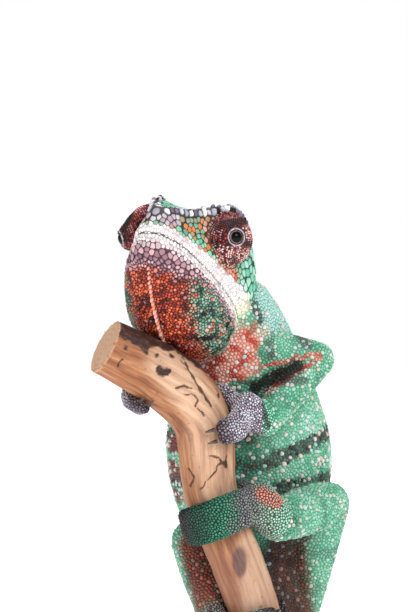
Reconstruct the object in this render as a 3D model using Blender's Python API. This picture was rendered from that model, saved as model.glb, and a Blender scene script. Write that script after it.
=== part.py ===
"""Panther chameleon gripping a bent length of branch, on a plain display stand.

Every flesh piece is a sweep: oval rings set along a smooth line through a few stations.
Pieces that meet are cut back by a slightly swollen copy of their neighbour, so a thin slit
parts them. Numbers are millimetres; MM turns them into Blender's metres.
The animal and the branch are placed from the grip frame, whose origin is on the axis of the
upright part of the branch, level with the top of the throat. The world origin is the middle
of the base's underside.
"""

import math

import bmesh
import bpy
from mathutils import Matrix, Vector

MM = 0.001
SLIT = 0.3  # the gap between two pieces that meet
SWELL = 0.34  # how far a cutting copy stands proud of the piece it copies

# ---------------------------------------------------------------- driving sizes

BASE_SIZE = (150.0, 132.0, 10.0)
BASE_CORNER = 26.0
BASE_BEVEL = 1.6
ROD_RADIUS = 2.6
COLLAR_RADIUS = 7.0
COLLAR_HEIGHT = 5.0
GRIP_FRAME = (-8.0, -20.0, 206.0)  # the grip frame's origin, from the middle of the base

# Branch: (x, y, z, radius), from its upper cut end down.
BRANCH = [
    (-24.3, -10.4, -10.0, 7.0),
    (-14.5, -6.8, -15.0, 7.6),
    (-5.6, -2.6, -21.2, 8.0),
    (-0.4, 0.0, -29.0, 7.6),
    (0.8, 0.0, -38.0, 7.3),
    (1.6, 0.0, -46.5, 7.1),
    (6.6, 0.0, -60.0, 6.9),
    (12.4, 0.0, -76.0, 6.6),
    (15.8, 0.0, -95.0, 6.5),
    (16.5, 0.0, -112.0, 6.6),
    (16.6, 0.0, -128.0, 6.7),
]

# Spine from the back of the head to the vent, and on down the tail to where its coil starts:
# (x, y, z, half width, half depth).
SPINE = [
    (-2.5, 9.0, 2.0, 11.4, 11.0),
    (3.9, 17.5, -1.6, 14.0, 14.8),
    (8.5, 25.0, -10.9, 16.0, 18.3),
    (10.8, 31.5, -24.0, 19.9, 22.2),
    (12.2, 36.4, -37.0, 22.7, 24.9),
    (13.5, 38.2, -50.0, 21.4, 24.7),
    (15.4, 36.6, -64.0, 16.8, 21.0),
    (17.2, 33.4, -77.0, 12.4, 15.6),
    (18.0, 32.2, -89.0, 8.4, 10.2),
    (17.8, 34.2, -100.0, 6.0, 7.2),
    (17.2, 39.0, -112.5, 5.0, 5.8),
    (16.4, 45.0, -126.0, 4.5, 5.1),
    (15.8, 50.4, -139.0, 4.1, 4.6),
]
NECK_END, CHEST_END, VENT = 1.9, 4.2, 8.0  # where the pieces of the body stop, in stations
BELLY_WAY = (-0.26, -0.966, 0.0)  # the way that the belly faces

# The coil follows SPINE and turns towards the belly.
COIL_CENTRE = (15.8, 28.8, -146.8)
COIL_START_RADIUS, COIL_END_RADIUS = 23.0, 5.0
COIL_START_ANGLE = 19.8
COIL_TURNS = 1.85
COIL_STEPS = 24
COIL_LEAN = -6.0  # how far the coil's inner end lies to the side of its start
TAIL_TIP_RADIUS = 1.1
TAIL_BREAKS = [8.0, 11.0, 16.0, 21.0, 27.0, 36.0]  # in stations along SPINE and the coil
TAIL_RINGS = [5, 8, 8, 9, 12]

# Head: yaw to the right of straight ahead, pitch up and roll to its left, in degrees.
HEAD_YAW, HEAD_PITCH, HEAD_ROLL = 20.0, 25.0, 8.0
MOUTH_FRONT = (-12.5, -19.0, 17.6)
MOUTH_SLOPE, MOUTH_SAG = 0.06, 0.0019  # the mouth's line drops by slope * x + sag * x * x
# Upper head, from the snout back: x, rise of its underside over the mouth's line, lip y,
# cheek y, cheek z, ridge y, ridge z, crown z.
UPPER_HEAD = [
    (1.5, 2.7, 0.7, 0.9, 4.0, 0.6, 5.4, 5.5),
    (0.9, 0.6, 2.5, 2.6, 3.2, 1.9, 7.2, 7.0),
    (-1.4, 0.0, 4.8, 4.2, 3.8, 3.0, 8.6, 7.6),
    (-5.0, 0.0, 7.2, 6.2, 4.8, 4.9, 10.0, 8.9),
    (-10.0, 0.0, 9.3, 7.8, 6.2, 7.4, 13.0, 11.3),
    (-15.0, 0.0, 11.0, 9.4, 8.0, 9.8, 17.0, 14.4),
    (-20.0, 0.0, 12.3, 10.9, 8.2, 11.1, 18.9, 16.6),
    (-26.0, 0.0, 13.4, 12.6, 8.0, 11.6, 18.8, 17.0),
    (-32.0, 0.0, 14.0, 14.2, 7.6, 11.2, 17.5, 16.2),
    (-38.0, 1.0, 13.0, 13.8, 7.4, 8.8, 16.6, 15.6),
    (-43.0, 5.6, 10.0, 11.2, 8.0, 5.8, 16.9, 16.6),
    (-47.0, 15.0, 4.8, 6.0, 12.0, 2.8, 17.5, 17.4),
    (-49.0, 21.4, 1.2, 1.8, 15.8, 0.9, 17.9, 18.0),
]
# Lower jaw, from the chin back: x, half width at the mouth, bulge y, bulge z, throat z.
LOWER_JAW = [
    (0.6, 1.0, 0.9, -1.3, -1.9),
    (-0.2, 2.9, 2.6, -1.8, -3.6),
    (-1.8, 4.9, 4.6, -2.6, -5.6),
    (-5.0, 7.1, 7.0, -4.0, -8.8),
    (-10.0, 9.2, 9.3, -6.0, -12.2),
    (-15.0, 10.8, 11.0, -7.6, -14.8),
    (-20.0, 12.0, 12.3, -8.8, -16.8),
    (-26.0, 13.0, 13.1, -10.0, -18.3),
    (-32.0, 13.4, 13.0, -11.0, -18.6),
    (-37.0, 12.2, 11.6, -11.4, -17.2),
    (-41.0, 8.8, 8.4, -11.0, -14.4),
]
HEAD_RINGS, JAW_RINGS = 21, 16
HEAD_HALF_POINTS, JAW_HALF_POINTS = 10, 8

TURRET_PLACE = (-19.6, 9.8, 9.4)  # the left eye's ball, in the head frame
TURRET_RADIUS = 7.4
TURRET_REACH = 8.9  # from the ball's middle to the rim of the lid
PUPIL_RIM = 2.0
EYE_RADIUS = 1.95
LEFT_GAZE = (0.33, -0.94, 0.04)  # in the grip frame
RIGHT_GAZE = (-0.94, -0.22, -0.26)

# Limbs: joint places in the grip frame, with radii at each end.
LIMBS = {
    "arm_left": {
        "root": (10.0, 14.6, -10.8), "bend": (29.0, 15.6, -13.8), "wrist": (15.4, 4.6, -28.8),
        "radii": (7.0, 4.9, 4.7, 4.3), "hand": "hand_left",
    },
    "arm_right": {
        "root": (7.0, 31.0, -16.0), "bend": (-12.2, 25.0, -20.6), "wrist": (-11.6, 9.0, -21.6),
        "radii": (6.4, 5.0, 4.6, 4.0), "hand": "hand_right",
    },
    "leg_left": {
        "root": (22.0, 34.5, -83.0), "bend": (32.2, 20.2, -51.4), "wrist": (18.2, 0.4, -53.6),
        "radii": (7.8, 6.0, 6.2, 5.6), "hand": "foot_left",
    },
    "leg_right": {
        "root": (12.0, 35.0, -85.0), "bend": (-3.4, 18.6, -60.8), "wrist": (3.0, 3.0, -77.6),
        "radii": (7.6, 5.4, 5.3, 4.8), "hand": "foot_right",
    },
}
LIMB_NAMES = {
    "arm_left": ("upper_arm_left", "forearm_left"),
    "arm_right": ("upper_arm_right", "forearm_right"),
    "leg_left": ("thigh_left", "shank_left"),
    "leg_right": ("thigh_right", "shank_right"),
}

# Grips: where on the branch's line (in stations), the palm's side of the branch in degrees
# (0 is +X, -90 is the front), its half width and the toes' radius. Then for each bundle the
# count of its toes, its end angle and how far up the branch it lies.
GRIPS = {
    "hand_left": {
        "at": 3.05, "side": 6.0, "palm": 4.8, "toe": 2.6,
        "bundles": {"outer": (2, -64.0, -2.2), "inner": (3, 116.0, 3.2)},
    },
    "hand_right": {
        "at": 1.25, "side": 142.0, "palm": 4.2, "toe": 2.1,
        "bundles": {"outer": (2, 236.0, 0.0), "inner": (3, 104.0, 3.0)},
    },
    "foot_left": {
        "at": 5.45, "side": -16.0, "palm": 5.4, "toe": 2.7,
        "bundles": {"outer": (3, -157.0, 0.0), "inner": (2, 118.0, 3.0)},
    },
    "foot_right": {
        "at": 7.2, "side": 200.0, "palm": 4.8, "toe": 2.7,
        "bundles": {"outer": (3, 306.0, 0.0), "inner": (2, 40.0, 2.0)},
    },
}
TOE_RINGS = 6
# Along a claw: distance past the toe's last full section and radius, both in toe radii, and sink.
CLAW_PROFILE = [(1.08, 0.27, 0.1), (1.4, 0.25, 0.3), (1.75, 0.17, 0.7), (2.05, 0.08, 1.1)]

# Sides of the rings, coarse enough to keep the whole to about ten thousand triangles.
NECK_SIDES, BODY_SIDES, TAIL_SIDES = 16, 18, 9
LIMB_SIDES = 12
TURRET_SIDES, EYEBALL_SIDES, BRANCH_SIDES, STAND_SIDES = 16, 10, 14, 14
DOME = (28, 56)  # where a rounded end's rings stand, in degrees

# ---------------------------------------------------------------- materials


def finish(name, colour, roughness, metallic=0.0):
    made = bpy.data.materials.new(name)
    made.use_nodes = True
    shader = made.node_tree.nodes["Principled BSDF"]
    shader.inputs["Base Color"].default_value = (*colour, 1.0)
    shader.inputs["Roughness"].default_value = roughness
    shader.inputs["Metallic"].default_value = metallic
    return made


def clear_scene():
    for old in list(bpy.data.objects):
        bpy.data.objects.remove(old, do_unlink=True)


# ---------------------------------------------------------------- curves and sweeps


def along(stations, u):
    """The station values at u, on a smooth line through all of them."""
    last = len(stations) - 1
    u = min(max(u, 0.0), last)
    i = min(int(u), last - 1)
    t = u - i
    rows = [stations[min(max(i + k, 0), last)] for k in (-1, 0, 1, 2)]
    return [
        0.5 * (2 * b + (c - a) * t + (2 * a - 5 * b + 4 * c - d) * t * t
               + (3 * b - a - 3 * c + d) * t ** 3)
        for a, b, c, d in zip(*rows)
    ]


def place(stations, u):
    return Vector(along(stations, u)[:3])


def tangent(stations, u):
    last = len(stations) - 1
    return (place(stations, min(u + 0.02, last)) - place(stations, max(u - 0.02, 0))).normalized()


def framed(direction, depth_way):
    """The side and depth directions square to a direction, with depth as near depth_way as it can be."""
    depth = Vector(depth_way)
    depth = (depth - direction * depth.dot(direction)).normalized()
    return depth.cross(direction).normalized(), depth


def mesh_object(name, points, faces, material, parent):
    mesh = bpy.data.meshes.new(name)
    mesh.from_pydata([Vector(p) * MM for p in points], [], faces)
    shape = bmesh.new()
    shape.from_mesh(mesh)
    bmesh.ops.recalc_face_normals(shape, faces=shape.faces)
    if shape.calc_volume(signed=True) < 0:
        bmesh.ops.reverse_faces(shape, faces=shape.faces)
    shape.to_mesh(mesh)
    shape.free()
    mesh.shade_smooth()
    mesh.set_sharp_from_angle(angle=math.radians(50))
    mesh.materials.append(material)
    made = bpy.data.objects.new(name, mesh)
    bpy.context.scene.collection.objects.link(made)
    made.parent = parent
    return made


def skinned(rings, poles):
    """Points and faces of a closed tube through rings of equal count. A pole closes an end with a fan."""
    sides = len(rings[0])
    points = [p for ring in rings for p in ring]
    faces = []
    for r in range(len(rings) - 1):
        for s in range(sides):
            n = (s + 1) % sides
            faces.append((r * sides + s, r * sides + n, (r + 1) * sides + n, (r + 1) * sides + s))
    for pole, r in zip(poles, (0, len(rings) - 1)):
        if pole is None:
            faces.append([r * sides + s for s in range(sides)])
            continue
        points.append(pole)
        tip = len(points) - 1
        for s in range(sides):
            faces.append((r * sides + s, r * sides + (s + 1) % sides, tip))
    return points, faces


def oval(centre, side, depth, half_side, half_depth, sides, keel=0.0):
    """A ring round centre. keel narrows the half away from depth, as a back is narrower than a belly."""
    ring = []
    for k in range(sides):
        a = 2 * math.pi * (k + 0.5) / sides
        narrow = 1.0 - keel * max(0.0, -math.sin(a))
        ring.append(centre + side * (half_side * math.cos(a) * narrow)
                    + depth * (half_depth * math.sin(a)))
    return ring


def sweep(name, stations, start, end, rings, sides, material, parent, depth_way,
          round_ends=(False, False), trims=(0.0, 0.0), keel=0.0):
    """A closed tube along stations from start to end. Round ends get a dome; trims shorten it there."""
    made = []
    for k in range(rings):
        u = start + (end - start) * k / (rings - 1)
        x, y, z, half_side, half_depth = along(stations, u)
        way = tangent(stations, u)
        centre = Vector((x, y, z))
        if k == 0:
            centre += way * trims[0]
        if k == rings - 1:
            centre -= way * trims[1]
        side, depth = framed(way, depth_way)
        made.append((centre, side, depth, half_side, half_depth, way))
    loops, poles = [oval(c, s, d, hs, hd, sides, keel) for c, s, d, hs, hd, w in made], [None, None]
    for which, sign in ((0, -1), (1, 1)):
        if not round_ends[which]:
            continue
        c, s, d, hs, hd, w = made[-which]
        reach = min(hs, hd)
        domes = [
            oval(c + w * (sign * reach * math.sin(a)), s, d, hs * math.cos(a), hd * math.cos(a),
                 sides, keel)
            for a in (math.radians(degrees) for degrees in DOME)
        ]
        loops = domes[::-1] + loops if which == 0 else loops + domes
        poles[which] = c + w * (sign * reach)
    return mesh_object(name, *skinned(loops, poles), material, parent)


def swollen(piece):
    """A hidden copy of a piece, standing SWELL proud of it, to cut its neighbours with."""
    name = "cut_" + piece.name
    if name in bpy.data.objects:
        return bpy.data.objects[name]
    shape = bmesh.new()
    shape.from_mesh(piece.data)
    shape.normal_update()
    moves = [(v, v.normal * v.calc_shell_factor() * SWELL * MM) for v in shape.verts]
    for v, move in moves:
        v.co += move
    mesh = bpy.data.meshes.new(name)
    shape.to_mesh(mesh)
    shape.free()
    cutter = bpy.data.objects.new(name, mesh)
    bpy.context.scene.collection.objects.link(cutter)
    cutter.parent = piece.parent
    cutter.matrix_local = piece.matrix_local.copy()
    cutter.hide_render = True
    cutter.display_type = "WIRE"
    return cutter


def mitre(piece, point, way, keep):
    """Cuts a piece off flat at a plane through point, half a slit back, keeping one side of it."""
    shape = bmesh.new()
    shape.from_mesh(piece.data)
    normal = way * keep
    cut = bmesh.ops.bisect_plane(
        shape, geom=shape.verts[:] + shape.edges[:] + shape.faces[:], dist=1e-7,
        plane_co=(point + normal * SLIT / 2) * MM, plane_no=normal, clear_inner=True)
    rim = [e for e in cut["geom_cut"] if isinstance(e, bmesh.types.BMEdge)]
    bmesh.ops.contextual_create(shape, geom=rim)
    bmesh.ops.recalc_face_normals(shape, faces=shape.faces)
    shape.to_mesh(piece.data)
    shape.free()
    piece.data.set_sharp_from_angle(angle=math.radians(50))


def cut_back(piece, *neighbours):
    for neighbour in neighbours:
        boolean = piece.modifiers.new("slit by " + neighbour.name, "BOOLEAN")
        boolean.operation = "DIFFERENCE"
        boolean.object = swollen(neighbour)


# ---------------------------------------------------------------- head


def head_matrix():
    """From the head frame (x forward, y to its left, z up, from the mouth's front) to the grip frame."""
    yaw, pitch, roll = (math.radians(a) for a in (HEAD_YAW, HEAD_PITCH, HEAD_ROLL))
    forward = Vector((-math.sin(yaw) * math.cos(pitch), -math.cos(yaw) * math.cos(pitch),
                      math.sin(pitch)))
    left = Vector((math.cos(yaw), -math.sin(yaw), 0.0))
    up = forward.cross(left)
    rolled_left = left * math.cos(roll) - up * math.sin(roll)
    rolled_up = up * math.cos(roll) + left * math.sin(roll)
    turned = Matrix((forward, rolled_left, rolled_up)).transposed()
    return Matrix.Translation(Vector(MOUTH_FRONT)) @ turned.to_4x4()


def half_outline(knots, count):
    """Points evenly spread on a smooth line through (y, z) knots."""
    return [along(knots, (len(knots) - 1) * k / (count - 1)) for k in range(count)]


def both_sides(half):
    """A closed ring from a half outline that starts and ends on the middle plane."""
    return half + [(-y, z) for y, z in reversed(half[1:-1])]


def even_spread(rings, count):
    """Ring positions in stations, closer together near both ends."""
    return [(count - 1) * (k / (rings - 1)) for k in range(rings)]


def mouth_line(x):
    return -MOUTH_SLOPE * abs(x) - MOUTH_SAG * x * x


def upper_head(material, parent, pose):
    loops = []
    for u in even_spread(HEAD_RINGS, len(UPPER_HEAD)):
        x, rise, lip_y, cheek_y, cheek_z, ridge_y, ridge_z, crown = along(UPPER_HEAD, u)
        mouth = mouth_line(x) + max(rise, 0.0)
        lip_top = mouth + 0.42 * (cheek_z - mouth)
        knots = [(0, mouth), (0.6 * lip_y, mouth), (lip_y, mouth),
                 (0.5 * (lip_y + cheek_y) + 0.5, lip_top), (cheek_y, cheek_z),
                 (0.97 * (0.5 * (cheek_y + ridge_y)), 0.45 * cheek_z + 0.55 * ridge_z),
                 (ridge_y, ridge_z), (0.55 * ridge_y, 0.35 * ridge_z + 0.65 * crown), (0, crown)]
        loops.append([pose @ Vector((x, y, z)) for y, z in both_sides(half_outline(knots, HEAD_HALF_POINTS))])
    centres = [sum(loop, Vector()) / len(loop) for loop in (loops[0], loops[-1])]
    return mesh_object("head", *skinned(loops, centres), material, parent)


def lower_jaw(material, parent, pose):
    loops = []
    for u in even_spread(JAW_RINGS, len(LOWER_JAW)):
        x, lip_y, bulge_y, bulge_z, throat = along(LOWER_JAW, u)
        top = mouth_line(x) - 1.3 * SLIT
        knots = [(0, top), (0.6 * lip_y, top), (lip_y, top),
                 (0.5 * (lip_y + bulge_y) + 0.15, 0.5 * (top + bulge_z)), (bulge_y, bulge_z),
                 (0.86 * bulge_y, 0.5 * (bulge_z + throat)), (0.5 * bulge_y, 0.1 * bulge_z + 0.9 * throat),
                 (0, throat)]
        loops.append([pose @ Vector((x, y, z)) for y, z in both_sides(half_outline(knots, JAW_HALF_POINTS))])
    centres = [sum(loop, Vector()) / len(loop) for loop in (loops[0], loops[-1])]
    return mesh_object("lower_jaw", *skinned(loops, centres), material, parent)


def turned_profile(name, centre, axis, profile, sides, material, parent):
    """A solid of revolution: profile is (distance along axis, radius), from one pole to the other."""
    side, depth = framed(axis, (0, 0, 1) if abs(axis.z) < 0.9 else (1, 0, 0))
    loops = [oval(centre + axis * h, side, depth, r, r, sides) for h, r in profile[1:-1]]
    poles = [centre + axis * profile[0][0], centre + axis * profile[-1][0]]
    return mesh_object(name, *skinned(loops, poles), material, parent)


def eye(side_name, side_sign, gaze, skin, glassy, parent, pose):
    """A turret, which is a ball drawn out to a round lid, and the eyeball that shows in the lid."""
    x, y, z = TURRET_PLACE
    centre = pose @ Vector((x, y * side_sign, z))
    axis = Vector(gaze).normalized()
    profile = [(-TURRET_RADIUS, 0.0)]
    for degrees in (-45, -12, 16, 40):
        a = math.radians(degrees)
        profile.append((TURRET_RADIUS * math.sin(a), TURRET_RADIUS * math.cos(a)))
    profile += [(6.6, 4.2), (8.0, 3.1), (TURRET_REACH, PUPIL_RIM + 0.45), (TURRET_REACH + 0.1, 0.0)]
    turret = turned_profile("eye_turret_" + side_name, centre, axis, profile, TURRET_SIDES, skin, parent)
    ball = turned_profile(
        "eyeball_" + side_name, centre + axis * (TURRET_REACH - EYE_RADIUS + 0.35), axis,
        [(-EYE_RADIUS, 0), (-0.6 * EYE_RADIUS, 0.8 * EYE_RADIUS), (0, EYE_RADIUS),
         (0.5 * EYE_RADIUS, 0.86 * EYE_RADIUS), (0.86 * EYE_RADIUS, 0.5 * EYE_RADIUS), (EYE_RADIUS, 0)],
        EYEBALL_SIDES, glassy, parent)
    cut_back(turret, ball)
    return turret, ball


# ---------------------------------------------------------------- limbs and grips


def grip_frame(grip):
    """The branch's middle, radius and directions at a grip: up the branch, out to the palm, and across."""
    x, y, z, radius = along(BRANCH, grip["at"])
    up = -tangent(BRANCH, grip["at"])
    across_x = Vector((1, 0, 0)) - up * up.x
    across_x.normalize()
    across_y = up.cross(across_x)
    return Vector((x, y, z)), radius, up, across_x, across_y


def round_branch(grip, degrees, height, distance):
    centre, _, up, across_x, across_y = grip_frame(grip)
    a = math.radians(degrees)
    out = across_x * math.cos(a) + across_y * math.sin(a)
    return centre + up * height + out * distance, out


def palm(name, grip, wrist, wrist_radius, material, parent):
    """From the wrist to the branch, flattening as it reaches the wood."""
    _, radius, up, _, _ = grip_frame(grip)
    middle, out = round_branch(grip, grip["side"], 0.0, radius + grip["palm"] * 0.66)
    half = grip["palm"]
    stations = [
        (*wrist, wrist_radius, wrist_radius),
        (*(wrist * 0.45 + middle * 0.55), half * 0.98, wrist_radius),
        (*middle, half * 1.08, half * 0.86),
    ]
    piece = sweep(name, stations, 0.0, 2.0, 6, LIMB_SIDES, material, parent, up.cross(out),
                  round_ends=(True, True))
    return piece, middle


def lobed_outline(count):
    """(toe, degrees, size) for each corner of a fused bundle's section, toes counted from 0."""
    last = count - 1
    outline = [(0, 180, 1), (0, 140, 1), (0, 105, 1), (0, 70, 1)]
    for toe in range(1, count):
        outline.append((toe - 0.5, 90, 0.74))
        outline += [(toe, degrees, 1) for degrees in ((110, 75, 40, 0) if toe == last else (112, 68))]
    inner = [(toe, 270 + 30 * ((toe == last) - (toe == 0)), 1) for toe in range(count)]
    return outline + inner[::-1]


def toe_bundle(name, grip, bundle, palm_piece, perch, material, claw_finish, parent):
    """Fused toes that wrap the branch from the palm. Each has a rounded tip and a claw."""
    count, end, height = bundle
    _, radius, up, _, _ = grip_frame(grip)
    thick = grip["toe"]
    start = grip["side"] + math.copysign(10.0, end - grip["side"])
    turn = math.copysign(1.0, end - start)

    def spot(toe, share, past, size, degrees, sink=0.0):
        """A point on a toe: share of the way to its tip, past it by a distance, round its section."""
        offset = toe - 0.5 * (count - 1)
        stop = end - turn * (6.0 * abs(offset) + 2.0 * toe)
        taper = thick * (0.84 + 1.1 * share - 1.14 * share ** 1.6)
        reach = radius + SLIT + 0.8 * taper - sink
        angle = start + (stop - start) * share + turn * math.degrees(past * taper / reach)
        spread = offset * thick * (0.96 + 0.16 * share * share)
        a = math.radians(degrees)
        centre, out = round_branch(grip, angle, height * min(1.0, 2 * share) + spread, reach)
        return centre + (up * math.cos(a) + out * math.sin(a)) * taper * size

    outline = lobed_outline(count)
    rounds = [(k / (TOE_RINGS - 1), 0.0, 1.0) for k in range(TOE_RINGS)] + [(1, 0.55, 0.84), (1, 0.92, 0.42)]
    rings = [[spot(toe, share, past, size * part, degrees) for toe, degrees, part in outline]
             for share, past, size in rounds]
    toes = mesh_object("toes_" + name, *skinned(rings, [None, None]), material, parent)
    for toe in range(count):
        claw_rings = [
            [spot(toe, 1.0, past, size, degrees, sink) for degrees in range(0, 360, 72)]
            for past, size, sink in CLAW_PROFILE
        ]
        mesh_object(f"claw_{name}_{toe + 1}", *skinned(claw_rings, [None, None]), claw_finish, parent)
    cut_back(toes, palm_piece, perch)
    return toes


def limb(key, body, perch, materials, parent):
    """Upper part, lower part, palm and two bundles of toes, cut back in that order."""
    spec = LIMBS[key]
    upper_name, lower_name = LIMB_NAMES[key]
    grip = GRIPS[spec["hand"]]
    root, bend, wrist = (Vector(spec[k]) for k in ("root", "bend", "wrist"))
    r_root, r_bend, r_low, r_wrist = spec["radii"]
    across = (bend - root).cross(wrist - bend).normalized()
    upper_stations = [
        (*root, r_root, r_root * 1.1),
        (*(root.lerp(bend, 0.5)), 0.5 * (r_root + r_bend), 0.54 * (r_root + r_bend)),
        (*bend, r_bend, r_bend),
    ]
    lower_stations = [
        (*bend, r_bend, r_bend),
        (*(bend.lerp(wrist, 0.45)), r_low, r_low * 1.06),
        (*wrist, r_wrist, r_wrist),
    ]
    upper = sweep(upper_name, upper_stations, 0.0, 2.0, 6, LIMB_SIDES, materials["skin"], parent, across,
                  round_ends=(True, True))
    lower = sweep(lower_name, lower_stations, 0.0, 2.0, 6, LIMB_SIDES, materials["skin"], parent, across,
                  round_ends=(True, True))
    palm_piece, middle = palm(spec["hand"], grip, wrist, r_wrist, materials["foot"], parent)
    elbow = ((bend - root).normalized() + (wrist - bend).normalized()).normalized()
    ankle = ((wrist - bend).normalized() + (middle - wrist).normalized()).normalized()
    mitre(upper, bend, elbow, -1)
    mitre(lower, bend, elbow, 1)
    mitre(lower, wrist, ankle, -1)
    mitre(palm_piece, wrist, ankle, 1)
    cut_back(upper, *body)
    cut_back(lower, body[0], perch)
    cut_back(palm_piece, perch)
    bundles = [
        toe_bundle(f"{spec['hand']}_{side}", grip, bundle, palm_piece, perch, materials["foot"],
                   materials["claw"], parent)
        for side, bundle in grip["bundles"].items()
    ]
    for bundle in bundles:
        cut_back(bundle, lower)
    return upper, lower, palm_piece, bundles


# ---------------------------------------------------------------- tail


def body_line():
    """SPINE's stations, then a flat coil that turns towards the belly and shrinks to the tip."""
    stations = list(SPINE)
    cx, cy, cz = COIL_CENTRE
    last_side, last_depth = SPINE[-1][3:]
    for k in range(1, COIL_STEPS + 1):
        share = k / COIL_STEPS
        angle = math.radians(COIL_START_ANGLE - 360 * COIL_TURNS * share)
        radius = COIL_START_RADIUS + (COIL_END_RADIUS - COIL_START_RADIUS) * share ** 0.85
        shrink = (1 - share) ** 0.85
        stations.append((
            cx + COIL_LEAN * share, cy + radius * math.cos(angle), cz + radius * math.sin(angle),
            TAIL_TIP_RADIUS + (last_side - TAIL_TIP_RADIUS) * shrink,
            TAIL_TIP_RADIUS + (last_depth - TAIL_TIP_RADIUS) * shrink,
        ))
    return stations


# ---------------------------------------------------------------- branch and stand


def branch(bark, parent):
    """The cut length of branch: a slightly uneven tube with flat sawn ends."""
    loops, sides, rings = [], BRANCH_SIDES, 17
    for k in range(rings):
        u = (len(BRANCH) - 1) * k / (rings - 1)
        x, y, z, radius = along(BRANCH, u)
        way = tangent(BRANCH, u)
        side, depth = framed(way, (0, -1, 0.2))
        loop = []
        for s in range(sides):
            a = 2 * math.pi * s / sides
            uneven = 1 + 0.022 * math.sin(2 * a + 0.9 * u) + 0.014 * math.sin(3 * a - 1.7 * u)
            loop.append(Vector((x, y, z)) + (side * math.cos(a) + depth * math.sin(a)) * radius * uneven)
        loops.append(loop)
    return mesh_object("perch_branch", *skinned(loops, [None, None]), bark, parent)


def base_plate(material, height):
    """A flat plate with round corners and a small bevel."""
    half_x, half_y = BASE_SIZE[0] / 2, BASE_SIZE[1] / 2
    outline = []
    for quarter, (sx, sy) in enumerate(((1, 1), (-1, 1), (-1, -1), (1, -1))):
        for step in range(6):
            a = math.radians(90 * quarter + 18 * step)
            outline.append((sx * (half_x - BASE_CORNER) + BASE_CORNER * math.cos(a),
                            sy * (half_y - BASE_CORNER) + BASE_CORNER * math.sin(a)))
    loops = []
    for z, inset in ((0.0, 0.5), (0.5, 0.0), (height - BASE_BEVEL, 0.0), (height - 0.4, 0.8),
                     (height, BASE_BEVEL + 0.6)):
        loops.append([Vector((x * (1 - inset / half_x), y * (1 - inset / half_y), z))
                      for x, y in outline])
    return mesh_object("stand_base", *skinned(loops, [None, None]), material, None)


def stand(parent, wood, metal):
    base_top = BASE_SIZE[2]
    base_plate(wood, base_top)
    foot_x, foot_y, foot_z = (Vector(BRANCH[-1][:3]) + Vector(GRIP_FRAME))
    up = Vector((0, 0, 1))
    ground = Vector((foot_x, foot_y, 0))
    low, high = base_top + SLIT, foot_z - SLIT
    turned_profile("stand_collar", ground, up, [
        (low, 0), (low, COLLAR_RADIUS), (low + 1.2, COLLAR_RADIUS),
        (low + COLLAR_HEIGHT - 1, ROD_RADIUS + 1.6), (low + COLLAR_HEIGHT, ROD_RADIUS + 1.2),
        (low + COLLAR_HEIGHT, 0)], STAND_SIDES, metal, None)
    rod_low = low + COLLAR_HEIGHT + SLIT
    turned_profile("stand_rod", ground, up, [
        (rod_low, 0), (rod_low, ROD_RADIUS), (high - 3.3, ROD_RADIUS), (high - 3.0, ROD_RADIUS + 1.8),
        (high, ROD_RADIUS + 1.8), (high, 0)], STAND_SIDES, metal, None)


# ---------------------------------------------------------------- assembly


def main():
    clear_scene()
    skin = finish("skin_green", (0.10, 0.38, 0.24), 0.55)
    head_skin = finish("head_skin", (0.55, 0.16, 0.10), 0.5)
    turret_skin = finish("turret_skin", (0.26, 0.06, 0.05), 0.5)
    foot_skin = finish("foot_skin", (0.28, 0.27, 0.30), 0.55)
    claw_horn = finish("claw_horn", (0.12, 0.09, 0.08), 0.35)
    glassy = finish("eye_glassy", (0.02, 0.015, 0.015), 0.08)
    wood = finish("branch_wood", (0.62, 0.40, 0.22), 0.65)
    stand_wood = finish("stand_wood", (0.10, 0.06, 0.04), 0.35)
    stand_metal = finish("stand_metal", (0.60, 0.47, 0.26), 0.3, 1.0)

    grip = bpy.data.objects.new("grip_frame", None)
    bpy.context.scene.collection.objects.link(grip)
    grip.location = Vector(GRIP_FRAME) * MM

    perch = branch(wood, grip)
    stand(grip, stand_wood, stand_metal)

    pose = head_matrix()
    head = upper_head(head_skin, grip, pose)
    jaw = lower_jaw(head_skin, grip, pose)
    turrets = []
    for side_name, sign, gaze in (("left", 1, LEFT_GAZE), ("right", -1, RIGHT_GAZE)):
        turret, ball = eye(side_name, sign, gaze, turret_skin, glassy, grip, pose)
        turrets.append(turret)
        cut_back(head, turret)
    cut_back(jaw, perch)

    line = body_line()
    neck = sweep("neck", line, 0.0, NECK_END, 6, NECK_SIDES, skin, grip, BELLY_WAY,
                 round_ends=(True, False), trims=(0, SLIT / 2), keel=0.2)
    chest = sweep("trunk_front", line, NECK_END, CHEST_END, 7, BODY_SIDES, skin, grip, BELLY_WAY,
                  trims=(SLIT / 2, SLIT / 2), keel=0.22)
    loin = sweep("trunk_rear", line, CHEST_END, VENT, 10, BODY_SIDES, skin, grip, BELLY_WAY,
                 trims=(SLIT / 2, SLIT / 2), keel=0.22)
    cut_back(neck, head, jaw)

    tails = []
    for k, (u0, u1) in enumerate(zip(TAIL_BREAKS, TAIL_BREAKS[1:])):
        tip = k == len(TAIL_BREAKS) - 2
        tails.append(sweep(f"tail_{k + 1}", line, u0, u1, TAIL_RINGS[k], TAIL_SIDES, skin, grip,
                           BELLY_WAY, round_ends=(False, tip),
                           trims=(SLIT / 2, 0 if tip else SLIT / 2), keel=0.22 * (k == 0)))

    materials = {"skin": skin, "foot": foot_skin, "claw": claw_horn}
    limb("arm_left", (chest, neck), perch, materials, grip)
    limb("arm_right", (chest, neck), perch, materials, grip)
    limb("leg_left", (loin, chest, tails[0]), perch, materials, grip)
    limb("leg_right", (loin, chest, tails[0]), perch, materials, grip)


main()
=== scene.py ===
import math

import bpy
import numpy as np
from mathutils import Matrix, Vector, noise
from mathutils.bvhtree import BVHTree
from mathutils.kdtree import KDTree


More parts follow.
